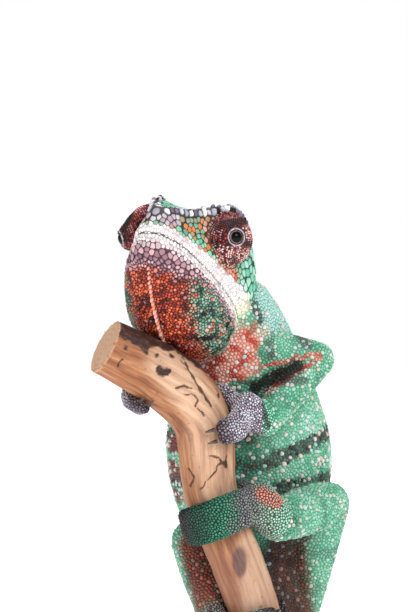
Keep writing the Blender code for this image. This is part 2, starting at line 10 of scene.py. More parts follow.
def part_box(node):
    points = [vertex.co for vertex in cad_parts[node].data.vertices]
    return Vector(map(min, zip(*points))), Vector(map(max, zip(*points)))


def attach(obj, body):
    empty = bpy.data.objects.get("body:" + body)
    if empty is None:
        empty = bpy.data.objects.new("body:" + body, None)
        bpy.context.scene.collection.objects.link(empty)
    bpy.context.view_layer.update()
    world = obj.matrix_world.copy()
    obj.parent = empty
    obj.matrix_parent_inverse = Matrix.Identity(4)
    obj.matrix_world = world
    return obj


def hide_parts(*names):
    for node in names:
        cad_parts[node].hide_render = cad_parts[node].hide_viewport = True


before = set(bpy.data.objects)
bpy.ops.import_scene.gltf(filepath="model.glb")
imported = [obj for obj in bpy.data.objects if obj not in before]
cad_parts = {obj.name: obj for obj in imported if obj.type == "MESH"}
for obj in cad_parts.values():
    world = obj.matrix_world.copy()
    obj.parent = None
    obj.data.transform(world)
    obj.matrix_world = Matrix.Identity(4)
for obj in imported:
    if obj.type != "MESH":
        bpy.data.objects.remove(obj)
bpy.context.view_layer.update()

mm = 0.001  # all shapes below are worked out in millimetres
chance = np.random.default_rng(11)

# how the animal sits: the grip frame is on the branch's axis, level with the throat
pose = {
    "gripPlace": (-8.0, -20.0, 206.0),
    "mouthFront": (-12.5, -19.0, 17.6),  # in the grip frame
    "headTurn": (20.0, 25.0, 8.0),  # yaw, pitch and roll in degrees
    "mouthSlope": 0.06,
    "mouthSag": 0.0019,
    "turretPlace": (-19.6, 9.8, 9.4),  # the left turret in the head's own frame
    "turretReach": 8.9,
    "gaze": {"left": (0.33, -0.94, 0.04), "right": (-0.94, -0.22, -0.26)},
    "spine": [
        (-2.5, 9.0, 2.0), (3.9, 17.5, -1.6), (8.5, 25.0, -10.9), (10.8, 31.5, -24.0),
        (12.2, 36.4, -37.0), (13.5, 38.2, -50.0), (15.4, 36.6, -64.0), (17.2, 33.4, -77.0),
        (18.0, 32.2, -89.0), (17.8, 34.2, -100.0), (17.2, 39.0, -112.5), (16.4, 45.0, -126.0),
        (15.8, 50.4, -139.0),
    ],
    "bellySide": (0.966, -0.26, 0.0),  # the way that its left side faces
    "coil": {"centre": (15.8, 28.8, -146.8), "start": 23.0, "end": 5.0, "angle": 19.8,
             "turns": 1.85, "steps": 24, "lean": -6.0},
    "limbs": {
        "arm_left": [(10.0, 14.6, -10.8), (29.0, 15.6, -13.8), (15.4, 4.6, -28.8)],
        "arm_right": [(7.0, 31.0, -16.0), (-12.2, 25.0, -20.6), (-11.6, 9.0, -21.6)],
        "leg_left": [(22.0, 34.5, -83.0), (32.2, 20.2, -51.4), (18.2, 0.4, -53.6)],
        "leg_right": [(12.0, 35.0, -85.0), (-3.4, 18.6, -60.8), (3.0, 3.0, -77.6)],
    },
    "branch": [
        (-24.3, -10.4, -10.0), (-14.5, -6.8, -15.0), (-5.6, -2.6, -21.2), (-0.4, 0.0, -29.0),
        (0.8, 0.0, -38.0), (1.6, 0.0, -46.5), (6.6, 0.0, -60.0), (12.4, 0.0, -76.0),
        (15.8, 0.0, -95.0), (16.5, 0.0, -112.0), (16.6, 0.0, -128.0),
    ],
}


# small tools

def pickUp(*pieces):
    if bpy.context.mode != "OBJECT":
        bpy.ops.object.mode_set(mode="OBJECT")
    bpy.ops.object.select_all(action="DESELECT")
    for piece in pieces:
        piece.select_set(True)
    bpy.context.view_layer.objects.active = pieces[0]


def apply(piece, kind, **settings):
    pickUp(piece)
    bpy.ops.object.modifier_add(type=kind)
    added = piece.modifiers[-1]
    for key, value in settings.items():
        setattr(added, key, value)
    bpy.ops.object.modifier_apply(modifier=added.name)


def addObject(name, data):
    made = bpy.data.objects.new(name, data)
    bpy.context.scene.collection.objects.link(made)
    return made


def copyNode(name):
    piece = addObject(name + "_copy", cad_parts[name].data.copy())
    piece.data.materials.clear()
    pickUp(piece)
    bpy.ops.object.mode_set(mode="EDIT")
    bpy.ops.mesh.select_all(action="SELECT")
    bpy.ops.mesh.remove_doubles(threshold=0.01 * mm)
    bpy.ops.object.mode_set(mode="OBJECT")
    return piece


def read(data, key, width, kind=float):
    flat = np.empty(len(data) * width, kind)
    data.foreach_get(key, flat)
    return flat.reshape(-1, width)


def points(piece):
    return read(piece.data.vertices, "co", 3) / mm


def setPoints(piece, places):
    piece.data.vertices.foreach_set("co", (places * mm).ravel())
    piece.data.update()


def normals(piece):
    return read(piece.data.vertices, "normal", 3)


def note(piece, name, values):
    values = np.asarray(values, np.float32)
    kind, key = ("FLOAT", "value") if values.ndim == 1 else ("FLOAT_VECTOR", "vector")
    layer = piece.data.attributes.new(name, kind, "POINT")
    layer.data.foreach_set(key, values.ravel())


def unit(vectors):
    return vectors / np.maximum(np.linalg.norm(vectors, axis=-1, keepdims=True), 1e-9)


def smooth(values, low, high):
    share = np.clip((values - low) / (high - low), 0, 1)
    return share * share * (3 - 2 * share)


def curved(stations, each):
    knots = np.array(stations, float)
    knots = np.vstack([2 * knots[0] - knots[1], knots, 2 * knots[-1] - knots[-2]])
    out = []
    for a, b, c, d in zip(knots, knots[1:], knots[2:], knots[3:]):
        for t in np.arange(each) / each:
            out.append(0.5 * (2 * b + (c - a) * t + (2 * a - 5 * b + 4 * c - d) * t * t
                              + (3 * b - a - 3 * c + d) * t ** 3))
    out.append(knots[-2])
    return np.array(out)


def treeOf(places):
    tree = KDTree(len(places))
    for k, place in enumerate(places):
        tree.insert(place, k)
    tree.balance()
    return tree


class Course:  # a smooth line, and how far along it and how far round it places are
    def __init__(self, stations, each, sideWay):
        self.line = curved(stations, each)
        self.ahead = unit(np.gradient(self.line, axis=0))
        steps = np.linalg.norm(np.diff(self.line, axis=0), axis=1)
        self.reach = np.concatenate([[0], np.cumsum(steps)])
        side = np.array(sideWay, float)
        self.side = unit(side - self.ahead * (self.ahead @ side)[:, None])
        self.under = np.cross(self.ahead, self.side)
        self.tree = treeOf(self.line)

    def measure(self, places):
        nearest = np.array([self.tree.find(p)[1] for p in places])
        off = places - self.line[nearest]
        along = self.reach[nearest] + (off * self.ahead[nearest]).sum(1)
        x = (off * self.side[nearest]).sum(1)
        y = (off * self.under[nearest]).sum(1)
        return np.column_stack([along, np.degrees(np.arctan2(x, y)), np.hypot(x, y)])


gripPlace = np.array(pose["gripPlace"])


def headWays():
    yaw, pitch, roll = (math.radians(a) for a in pose["headTurn"])
    forward = Vector((-math.sin(yaw) * math.cos(pitch), -math.cos(yaw) * math.cos(pitch),
                      math.sin(pitch)))
    left = Vector((math.cos(yaw), -math.sin(yaw), 0))
    up = forward.cross(left)
    return np.array([forward, left * math.cos(roll) - up * math.sin(roll),
                     up * math.cos(roll) + left * math.sin(roll)])


headTurn = headWays()
headPlace = gripPlace + np.array(pose["mouthFront"])


def toHead(places):
    return (places - headPlace) @ headTurn.T


def fromHead(places):
    return np.asarray(places, float) @ headTurn + headPlace


def turretCentre(side):
    x, y, z = pose["turretPlace"]
    return fromHead((x, y if side == "left" else -y, z))


def mouthHeight(x):
    return -pose["mouthSlope"] * np.abs(x) - pose["mouthSag"] * x * x


def bodyStations():
    coil = pose["coil"]
    cx, cy, cz = coil["centre"]
    out = list(pose["spine"])
    for k in range(1, coil["steps"] + 1):
        share = k / coil["steps"]
        angle = math.radians(coil["angle"] - 360 * coil["turns"] * share)
        radius = coil["start"] + (coil["end"] - coil["start"]) * share ** 0.85
        out.append((cx + coil["lean"] * share, cy + radius * math.cos(angle),
                    cz + radius * math.sin(angle)))
    return np.array(out) + gripPlace


bodyCourse = Course(bodyStations(), 8, pose["bellySide"])
limbCourses = {name: Course(np.array(stations) + gripPlace, 8, (0, -1, 0.05))
               for name, stations in pose["limbs"].items()}
branchCourse = Course(np.array(pose["branch"]) + gripPlace, 12, (1, 0, 0))


# the skin: one closed surface in place of every flesh node

skinWork = {
    "spread": 0.26,  # each node's copy is swollen by this, so that neighbours join
    "voxel": 0.66,
    "rounds": 30,  # of smoothing
    "coatDepth": 0.32,  # the skin lies this far inside the nodes
    "borderRounds": 14,  # how far the parts' colours run into each other
    "mouthDepth": 0.55,
    "mouthWidth": 0.55,
}
partNames = ["head", "jaw", "turret", "neck", "trunk", "tail", "arm", "hand", "leg", "foot"]
partOf = {
    "head": "head", "lower": "jaw", "eye": "turret", "neck": "neck", "trunk": "trunk",
    "tail": "tail", "upper": "arm", "forearm": "arm", "hand": "hand", "thigh": "leg",
    "shank": "leg", "foot": "foot",
}


def partIndex(node):
    words = node.split("_")
    return partNames.index(partOf[words[1] if words[0] == "toes" else words[0]])


fleshNodes = sorted(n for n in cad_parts
                    if not n.startswith(("claw_", "eyeball_", "perch_", "stand_")))


def ownerTree():
    corners, faces, owners = [], [], []
    for name in fleshNodes:
        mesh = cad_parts[name].data
        start = len(corners)
        corners.extend(np.array(v.co) / mm for v in mesh.vertices)
        for face in mesh.polygons:
            faces.append([start + k for k in face.vertices])
            owners.append(partIndex(name))
    return BVHTree.FromPolygons(corners, faces), np.array(owners)


def evened(values, edges, degree, share):
    flat = values.reshape(len(values), -1)
    total = np.column_stack([
        np.bincount(edges[:, 0], column[edges[:, 1]], len(values))
        + np.bincount(edges[:, 1], column[edges[:, 0]], len(values)) for column in flat.T])
    return values + share * ((total / degree[:, None]).reshape(values.shape) - values)


def edgesOf(piece):
    edges = read(piece.data.edges, "vertices", 2, int)
    return edges, np.maximum(np.bincount(edges.ravel(), minlength=len(piece.data.vertices)), 1)


def makeSkin():
    copies = [copyNode(name) for name in fleshNodes]
    for piece in copies:
        setPoints(piece, points(piece) + normals(piece) * skinWork["spread"])
    pickUp(*copies)
    bpy.ops.object.join()
    skin = bpy.context.view_layer.objects.active
    skin.name = "skin"
    skin.data.name = "skin"
    apply(skin, "REMESH", mode="VOXEL", voxel_size=skinWork["voxel"] * mm)
    edges, degree = edgesOf(skin)
    places = points(skin)
    for _ in range(skinWork["rounds"]):
        places = evened(places, edges, degree, 0.6)
        places = evened(places, edges, degree, -0.62)
    setPoints(skin, places)
    places -= normals(skin) * (skinWork["spread"] + skinWork["coatDepth"])
    inHead = toHead(places)
    away = inHead[:, 2] - mouthHeight(inHead[:, 0])
    depth = skinWork["mouthDepth"] * np.exp(-(away / skinWork["mouthWidth"]) ** 2)
    depth *= smooth(inHead[:, 0], -40, -35) * (inHead[:, 2] < 6)
    setPoints(skin, places - normals(skin) * depth[:, None])
    pickUp(skin)
    bpy.ops.object.shade_smooth()
    bpy.ops.object.mode_set(mode="EDIT")
    bpy.ops.mesh.select_all(action="SELECT")
    bpy.ops.uv.smart_project(angle_limit=math.radians(66), island_margin=0.001)
    bpy.ops.object.mode_set(mode="OBJECT")
    return skin


skin = makeSkin()
print("skin:", len(skin.data.vertices), "points", len(skin.data.polygons), "faces")
skinPlaces, skinNormals = points(skin), normals(skin)


def skinFields():
    tree, owners = ownerTree()
    part = np.array([owners[tree.find_nearest(p)[2]] for p in skinPlaces])
    edges, degree = edgesOf(skin)
    weights = np.eye(len(partNames))[part]
    for _ in range(skinWork["borderRounds"]):
        weights = evened(weights, edges, degree, 0.7)
    limb = np.zeros((len(skinPlaces), 3))
    nearest = np.full(len(skinPlaces), 1e9)
    for k, course in enumerate(limbCourses.values()):
        measured = course.measure(skinPlaces)
        closer = measured[:, 2] < nearest
        nearest[closer] = measured[closer, 2]
        limb[closer] = measured[closer]
        limb[closer, 2] = k
    return part, {
        "root": skinPlaces - gripPlace,
        "inHead": toHead(skinPlaces),
        "onBody": bodyCourse.measure(skinPlaces),
        "onLimb": limb,
        "partsOne": weights[:, [0, 1, 2]],
        "partsTwo": weights[:, [3, 4, 5]],
        "partsThree": weights[:, [6, 7, 8]],
    }


skinPart, fields = skinFields()


def fromClaws():  # how far each place is from the nearest claw
    boxes = [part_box(name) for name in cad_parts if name.startswith("claw_")]
    tree = treeOf([(low + high) / 2 / mm for low, high in boxes])
    return np.array([tree.find(p)[2] for p in skinPlaces])


footWeight = 1 - sum(fields[name].sum(1) for name in ("partsOne", "partsTwo", "partsThree"))
fields["pawMarks"] = np.column_stack([footWeight, fromClaws(), np.zeros(len(skinPlaces))])
skinUv = np.zeros((len(skinPlaces), 2))
skinUv[read(skin.data.loops, "vertex_index", 1, int)[:, 0]] = read(skin.data.uv_layers.active.data, "uv", 2)
skin.data.uv_layers.active.name = "OFBake"
faceCorners = [list(f.vertices) for f in skin.data.polygons]
skinTree = BVHTree.FromPolygons([tuple(p) for p in skinPlaces], faceCorners)
print("fields done")


# where the scales stand

scaleWork = {
    "spacing": {"head": 1.15, "jaw": 0.62, "turret": 0.62, "neck": 0.7, "trunk": 0.68, "tail": 0.8,
                "arm": 0.66, "hand": 0.56, "leg": 0.7, "foot": 0.56},
    "tries": 4.0,  # how many places are tried for each one that could fit
    "evenRounds": 2,
    "gap": 0.035,  # between neighbours
    "spread": 0.86,  # how far an outline may reach into open skin, over its own width
    "crestGap": 0.14,  # more of it round the crests' scales
    "patch": 0.0028,  # a scale's own patch on the skin's unwrap
    "patchReach": 1.36,  # how many scale widths the patch stands for
}
kinds = {  # height over width, and lean along the lie
    "granule": {"height": 0.34, "lean": 0.10},
    "plate": {"height": 0.17, "lean": 0.05},
    "lip": {"height": 0.16, "lean": 0.0},
    "tubercle": {"height": 0.42, "lean": 0.12},
    "crest": {"height": 0.34, "lean": 0.02},
    "spine": {"height": 1.3, "lean": 0.45},
    "lid": {"height": 0.34, "lean": 0.0},
    "brow": {"height": 0.62, "lean": 0.0},
}
kindNames = list(kinds)


def hit(start, way, parts, far=60.0):
    place, _, face, _ = skinTree.ray_cast(Vector(start), Vector(way), far)
    if place is None or partNames[skinPart[faceCorners[face][0]]] not in parts:
        return None
    return np.array(place)


def spaced(line, pitch):
    line = np.array([p for p in line if p is not None])
    reach = np.concatenate([[0], np.cumsum(np.linalg.norm(np.diff(line, axis=0), axis=1))])
    marks = np.linspace(0, reach[-1], max(2, round(reach[-1] / pitch)))
    return np.column_stack([np.interp(marks, reach, line[:, k]) for k in range(3)])


def lipRow(above, backEnd):
    front = []
    for angle in np.radians(np.arange(-90, 91, 2.0)):  # round the snout, from its right side
        x, y = -6 + 40 * math.cos(angle), 40 * math.sin(angle)
        z = mouthHeight(-6 + 8 * math.cos(angle)) + above
        way = -headTurn[0] * math.cos(angle) - headTurn[1] * math.sin(angle)
        front.append(hit(fromHead((x, y, z)), way, ("head", "jaw")))
    sides = [[hit(fromHead((x, side * 40, mouthHeight(x) + above)), -side * headTurn[1], ("head", "jaw"))
              for x in np.arange(-7, backEnd, -0.6)] for side in (-1, 1)]
    return sides[0][::-1] + front + sides[1]


def onSkin(x, y, z):  # the nearest place of the skin, from one in the head's frame
    return np.array(skinTree.find_nearest(Vector(fromHead((x, y, z))))[0])


def ridgeRow(knots, side):
    return [onSkin(x, side * y, z + 0.5) for x, y, z in curved(knots, 10)]


ridgeKnots = [  # from the snout's tip over the eye to the casque's top
    (0.2, 1.6, 6.9), (-1.4, 3.0, 8.6), (-5, 4.9, 10.0), (-10, 7.4, 13.0), (-15, 9.8, 17.0),
    (-20, 11.1, 18.9), (-26, 11.6, 18.8), (-32, 11.2, 17.5), (-38, 8.8, 16.6), (-43, 5.8, 16.9),
    (-47, 2.8, 17.5),
]
rowWork = {
    "lipAway": 0.7,  # above and below the mouth
    "lipPitch": 0.95,
    "mouthCorner": -37,
    "ridges": [  # outward, up, pitch and swell of each row of a ridge
        (0.6, -1.3, 1.5, 1.25), (-0.1, 0.1, 1.1, 0.85), (-1.5, 0.4, 1.3, 0.9),
    ],
    "ridgeGrow": ([0, 0.15, 0.45, 0.55, 1], [1.0, 1.15, 1.05, 0.75, 0.7]),
    "browGrow": 1.2,  # the ridges' scales over the eyes
    "knobs": [  # on the snout, on both sides
        (-0.6, 0.9, 6.6), (-2.4, 0, 8.2), (-2.8, 2.0, 8.6), (-4.6, 1.0, 9.0), (0.8, 0, 5.0),
        (-5.0, 3.2, 9.4),
    ],
    "knob": 1.9,
    "casque": [(-24, 0, 14), (-32, 0, 15), (-38, 0, 15.6), (-43, 0, 16.6), (-48, 0, 17.8)],
    "casquePitch": 1.5,
    "throatPitch": 1.2,
    "throatGrow": ([0, 0.3, 1], [0.75, 1.15, 0.9]),
    "backPitch": 2.0,
    "backGrow": ([0, 0.5, 1], [0.9, 1.0, 0.55]),
    "backSpan": (10, -90),  # of the body's line
    "bellyPitch": 1.9,
    "bellySpan": (18, 66),
}


def turretRings():
    seeds = []
    pitch = scaleWork["spacing"]["turret"]
    for side, gaze in pose["gaze"].items():
        centre = turretCentre(side)
        axis = unit(np.array(gaze))
        across = unit(np.cross(axis, (0, 0, 1)))
        upward = np.cross(across, axis)
        for ring, degrees in enumerate(np.arange(18.0, 104, 4.6)):
            polar = math.radians(degrees)
            count = round(2 * math.pi * 8.0 * math.sin(polar) / pitch)
            for k in range(count):
                a = 2 * math.pi * (k + 0.5 * (ring % 2)) / count
                outward = across * math.cos(a) + upward * math.sin(a)
                spot = hit(centre, axis * math.cos(polar) + outward * math.sin(polar), ("turret",), 9.8)
                if spot is not None:
                    seeds.append((spot, pitch, "lid" if ring < 1 else "granule"))
    return seeds


def seedScales():
    seeds = []  # place, width and kind

    def row(line, pitch, kind, swell=1.0, grow=None):
        spots = spaced(line, pitch)
        for k, spot in enumerate(spots):
            x, y, _ = toHead(spot)
            overEye = kind == "crest" and -27 < x < -12 and abs(y) > 7
            size = pitch * swell * (1 if grow is None else np.interp(k / len(spots), *grow))
            seeds.append((spot, size * (rowWork["browGrow"] if overEye else 1), "brow" if overEye else kind))

    for away in (rowWork["lipAway"], -rowWork["lipAway"]):
        row(lipRow(away, rowWork["mouthCorner"]), rowWork["lipPitch"], "lip")
    for side in (-1, 1):
        for outward, up, pitch, swell in rowWork["ridges"]:
            knots = [(x, y + outward, z + up) for x, y, z in ridgeKnots]
            row(ridgeRow(knots, side), pitch, "crest", swell, rowWork["ridgeGrow"])
    for x, y, z in rowWork["knobs"]:
        for side in (1, -1) if y else (1,):
            seeds.append((onSkin(x, side * y, z), rowWork["knob"], "crest"))
    row(ridgeRow(rowWork["casque"], 1), rowWork["casquePitch"], "crest")
    throat = [hit(fromHead((x, 0, -60)), headTurn[2], ("jaw", "neck"), 90)
              for x in np.arange(-4.0, -40, -0.7)]
    row(throat, rowWork["throatPitch"], "spine", 0.62, rowWork["throatGrow"])
    span = slice(*rowWork["backSpan"])
    back = [hit(place - under * 60, under, ("neck", "trunk", "tail"), 70)
            for place, under in zip(bodyCourse.line[span], bodyCourse.under[span])]
    row(back, rowWork["backPitch"], "spine", 0.75, rowWork["backGrow"])
    span = slice(*rowWork["bellySpan"])
    belly = [hit(place, under, ("neck", "trunk"), 40)
             for place, under in zip(bodyCourse.line[span], bodyCourse.under[span])]
    row(belly, rowWork["bellyPitch"], "tubercle", 0.7)
    return seeds + turretRings()


def scatter(places, reach, slack):  # keeps each place that stands clear of those kept before it
    cell = float(reach.max())
    kept, cells = [], {}
    around = [(i, j, k) for i in (-1, 0, 1) for j in (-1, 0, 1) for k in (-1, 0, 1)]
    for index, ((x, y, z), r, share) in enumerate(zip(places.tolist(), reach.tolist(), slack.tolist())):
        i, j, k = int(x // cell), int(y // cell), int(z // cell)
        free = True
        for a, b, c in around:
            for u, v, w, s in cells.get((i + a, j + b, k + c), ()):
                least = 0.5 * (r + s) * share
                if (x - u) ** 2 + (y - v) ** 2 + (z - w) ** 2 < least * least:
                    free = False
                    break
            if not free:
                break
        if free:
            cells.setdefault((i, j, k), []).append((x, y, z, r))
            kept.append(index)
    return np.array(kept)


def ordinaryScales():
    corners = np.array(faceCorners)
    a, b, c, d = (skinPlaces[corners[:, k]] for k in range(4))
    area = 0.5 * (np.linalg.norm(np.cross(b - a, c - a), axis=1)
                  + np.linalg.norm(np.cross(c - a, d - a), axis=1))
    spacing = np.array([scaleWork["spacing"][n] for n in partNames])[skinPart[corners[:, 0]]]
    inHead = fields["inHead"][corners[:, 0]]
    part = skinPart[corners[:, 0]]
    isHead, isJaw = part == 0, part == 1
    overMouth = inHead[:, 2] - mouthHeight(inHead[:, 0])
    spacing[isHead] += 0.6 * smooth(-inHead[isHead, 0], 26, 32)  # broad plates on the temples
    spacing[isHead] -= 0.4 * smooth(inHead[isHead, 2], 11, 14) * smooth(6 - abs(inHead[isHead, 1]), 0, 3)
    spacing[isJaw] += 0.55 * (smooth(overMouth, -6.5, -4.5) * smooth(inHead[:, 0], -14, -7))[isJaw]
    isLip = (isHead | isJaw) & (overMouth > -2.4) & (overMouth < 3.0) & (inHead[:, 0] > -38)
    spacing[isLip] = 0.8
    share = area / spacing ** 2
    count = int(share.sum() * scaleWork["tries"])
    face = chance.choice(len(corners), count, p=share / share.sum())
    u, v = chance.random((2, count, 1))
    places = (a[face] * (1 - u) + b[face] * u) * (1 - v) + (d[face] * (1 - u) + c[face] * u) * v
    reach = spacing[face] * chance.uniform(0.9, 1.12, count)
    kind = np.full(count, kindNames.index("granule"))
    kind[(part[face] == 0) | ((part[face] == 1) & (spacing[face] > 1.15))] = kindNames.index("plate")
    kind[isLip[face]] = kindNames.index("lip")
    tubercles = {"jaw": (0.03, 0.85), "neck": (0.06, 0.95), "trunk": (0.065, 1.0), "tail": (0.07, 1.05),
                 "arm": (0.10, 0.88), "hand": (0.0, 0.8), "leg": (0.07, 0.95), "foot": (0.0, 0.78)}
    often, broad = np.array([tubercles.get(n, (0.0, 1.0)) for n in partNames])[part[face]].T
    bold = (chance.random(count) < often / scaleWork["tries"]) & (kind == 0)
    kind[bold] = kindNames.index("tubercle")
    reach[bold] = (broad * chance.uniform(0.85, 1.15, count))[bold]
    order = np.argsort(~bold, kind="stable")
    return places[order], reach[order], kind[order]


def gatherScales():
    seeds = seedScales()
    places, reach, kind = ordinaryScales()
    slack = np.concatenate([np.full(len(seeds), 0.55), np.full(len(places), 0.93)])
    places = np.vstack([[s[0] for s in seeds], places])
    reach = np.concatenate([[s[1] for s in seeds], reach])
    kind = np.concatenate([[kindNames.index(s[2]) for s in seeds], kind])
    kept = scatter(places, reach, slack)
    fixed = kept < len(seeds)
    return places[kept], reach[kept], kind[kept], fixed


def neighbours(places, count):
    tree = treeOf(places)
    return np.array([[n[1] for n in tree.find_n(p, count + 1)[1:]] for p in places])


def settle(places, reach, fixed):  # scales push each other apart and stay on the skin
    for _ in range(scaleWork["evenRounds"]):
        near = neighbours(places, 7)
        off = places[:, None] - places[near]
        far = np.linalg.norm(off, axis=2, keepdims=True)
        want = 0.5 * (reach[:, None] + reach[near])[..., None] * 1.12
        push = (off / np.maximum(far, 1e-6) * np.maximum(want - far, 0)).sum(1) * 0.3
        push[fixed] = 0
        places = np.array([skinTree.find_nearest(p)[0] for p in places + push])
    return places


def lieWays(places, normal, part):
    body = np.array([bodyCourse.tree.find(p)[1] for p in places])
    way = bodyCourse.ahead[body]
    onLimb = np.where(np.isin(part, [partNames.index(n) for n in ("arm", "hand", "leg", "foot")]))[0]
    best = np.full(len(onLimb), 1e9)
    for course in limbCourses.values():
        found = [course.tree.find(p) for p in places[onLimb]]
        far = np.array([f[2] for f in found])
        closer = far < best
        best[closer] = far[closer]
        way[onLimb[closer]] = course.ahead[np.array([f[1] for f in found])[closer]]
    inFace = np.isin(part, [partNames.index(n) for n in ("head", "jaw", "turret")])
    way[inFace] = -headTurn[0]
    way = way - normal * (way * normal).sum(1, keepdims=True)
    return unit(way + 1e-4)


places, reach, kind, fixed = gatherScales()
places = settle(places, reach, fixed)
print("scales:", len(places))
foundOn = [skinTree.find_nearest(p) for p in places]
upWay = unit(np.array([f[1] for f in foundOn]))
rootPoint = np.array([faceCorners[f[2]][0] for f in foundOn])
scalePart = skinPart[rootPoint]
upWay = unit(upWay + skinNormals[rootPoint] * 1.5)
lieWay = lieWays(places, upWay, scalePart)
sideWay = np.cross(upWay, lieWay)
shade = chance.random(len(places))


def cellShapes(sides):  # how far each scale's outline is, on every side, before it meets a neighbour
    near = neighbours(places, 10)
    off = places[near] - places[:, None]
    off -= upWay[:, None] * (off * upWay[:, None]).sum(2, keepdims=True)
    x = (off * lieWay[:, None]).sum(2)
    y = (off * sideWay[:, None]).sum(2)
    far2 = x * x + y * y
    facing = (upWay[near] * upWay[:, None]).sum(2) > 0.2
    share = reach[:, None] / (reach[:, None] + reach[near])
    angle = np.arange(sides) * 2 * math.pi / sides
    out = np.full((len(places), sides), 1e9)
    for m, a in enumerate(angle):
        along = x * math.cos(a) + y * math.sin(a)
        edge = np.where(facing & (along > 1e-3), share * far2 / np.maximum(along, 1e-3), 1e9)
        out[:, m] = edge.min(1)
    out = np.minimum(out, scaleWork["spread"] * reach[:, None]) - scaleWork["gap"]
    out[kind == kindNames.index("crest")] -= scaleWork["crestGap"]
    return np.maximum(out, 0.18 * reach[:, None]), angle


shapes = {  # (share of the outline, share of the height) ring by ring, then the tip
    "fine": {"sides": 7, "rings": [(1.0, -0.12), (0.66, 0.78)]},
    "bold": {"sides": 10, "rings": [(1.0, -0.12), (0.86, 0.52), (0.48, 0.93)]},
}
outlines = {name: cellShapes(shape["sides"]) for name, shape in shapes.items()}


def buildScales(chosen, shape):
    sides, rings = shapes[shape]["sides"], shapes[shape]["rings"]
    outline, angle = outlines[shape]
    outline = outline[chosen]
    tall = np.array([kinds[n]["height"] for n in kindNames])[kind[chosen]]
    lean = np.array([kinds[n]["lean"] for n in kindNames])[kind[chosen]]
    height = tall * np.minimum(reach[chosen], outline.mean(1) * 2.2) * (0.85 + 0.3 * shade[chosen])
    count, perScale = len(chosen), sides * len(rings) + 1
    root, up, ahead, side = (v[chosen] for v in (places, upWay, lieWay, sideWay))
    verts = np.zeros((count, perScale, 3))
    flat = np.zeros((count, perScale, 2))
    rise = np.zeros((count, perScale))
    for r, (wide, high) in enumerate(rings):
        x = outline * wide * np.cos(angle)
        y = outline * wide * np.sin(angle)
        span = slice(r * sides, (r + 1) * sides)
        flat[:, span] = np.stack([x, y], 2)
        onward = x + (lean * height * high)[:, None]
        verts[:, span] = (root[:, None] + ahead[:, None] * onward[..., None] + side[:, None] * y[..., None]
                          + up[:, None] * (height * high)[:, None, None])
        rise[:, span] = max(high, 0)
    verts[:, -1] = root + up * height[:, None] + ahead * (lean * height)[:, None]
    rise[:, -1] = 1
    faces = []
    for r in range(len(rings) - 1):
        for m in range(sides):
            a, b = r * sides + m, r * sides + (m + 1) % sides
            faces += [(a, b, b + sides), (a, b + sides, a + sides)]
    top = (len(rings) - 1) * sides
    faces += [(top + m, top + (m + 1) % sides, perScale - 1) for m in range(sides)]
    corners = (np.arange(count)[:, None, None] * perScale + np.array(faces)[None]).reshape(-1)
    who = np.repeat(chosen, perScale)
    inPatch = (flat.reshape(-1, 2) / reach[who, None]) * scaleWork["patch"] / scaleWork["patchReach"]
    uv = skinUv[rootPoint[who]] + inPatch
    return verts.reshape(-1, 3), corners, uv, rise.reshape(-1), who


def scalePiece(name, parts):
    inPart = np.isin(scalePart, [partNames.index(p) for p in parts])
    if name.endswith(("_left", "_right")):
        inPart &= (fields["onBody"][rootPoint, 1] > 0) == name.endswith("_left")
    fine = inPart & (kind == kindNames.index("granule"))
    made = [buildScales(np.where(which)[0], shape)
            for which, shape in ((fine, "fine"), (inPart & ~fine, "bold")) if which.any()]
    starts = np.cumsum([0] + [len(m[0]) for m in made[:-1]])
    verts, uv, rise, who = (np.concatenate([m[k] for m in made]) for k in (0, 2, 3, 4))
    corners = np.concatenate([m[1] + s for m, s in zip(made, starts)]).astype(np.int32)
    mesh = bpy.data.meshes.new(name)
    mesh.vertices.add(len(verts))
    mesh.vertices.foreach_set("co", (verts * mm).astype(np.float32).ravel())
    mesh.loops.add(len(corners))
    mesh.loops.foreach_set("vertex_index", corners)
    mesh.polygons.add(len(corners) // 3)
    mesh.polygons.foreach_set("loop_start", np.arange(0, len(corners), 3, dtype=np.int32))
    mesh.update(calc_edges=True)
    mesh.uv_layers.new(name="OFBake")
    mesh.uv_layers["OFBake"].data.foreach_set("uv", uv[corners].astype(np.float32).ravel())
    piece = addObject(name, mesh)
    mesh.polygons.foreach_set("use_smooth", np.ones(len(mesh.polygons), bool))
    for key, values in fields.items():
        note(piece, key, values[rootPoint[who]])
    note(piece, "facing", upWay[who])
    note(piece, "marks", np.column_stack([rise, shade[who], kind[who]]))
    print(name, len(mesh.polygons), "triangles")
    return piece


coats = {  # which parts of the body each piece of the coat covers
    "scales_head": ("head", "turret"),
    "scales_jaw": ("jaw",),
    "scales_neck": ("neck",),
    "scales_trunk_left": ("trunk",),
    "scales_trunk_right": ("trunk",),
    "scales_tail": ("tail",),
    "scales_limbs": ("arm", "leg"),
    "scales_paws": ("hand", "foot"),
}
coatPieces = [scalePiece(name, parts) for name, parts in coats.items()]
for key, values in fields.items():
    note(skin, key, values)
note(skin, "facing", skinNormals)
note(skin, "marks", np.tile([0.0, 0.5, 0.0], (len(skinPlaces), 1)))


# finishes

paints = {  # red, green and blue out of 255
    "green": (92, 172, 138), "paleGreen": (148, 206, 178), "deepGreen": (40, 112, 82),
    "teal": (66, 136, 120), "skyGreen": (172, 212, 206), "bar": (52, 36, 42),
    "black": (22, 14, 16), "red": (196, 76, 52), "orange": (232, 120, 74),
    "rust": (150, 52, 40), "maroon": (74, 26, 30), "pink": (228, 164, 152),
    "lip": (236, 220, 222), "cream": (242, 236, 208), "mauve": (168, 136, 148),
    "grey": (196, 190, 198), "olive": (138, 140, 96), "slate": (112, 106, 124),
    "white": (244, 242, 240), "brown": (96, 60, 48),
}


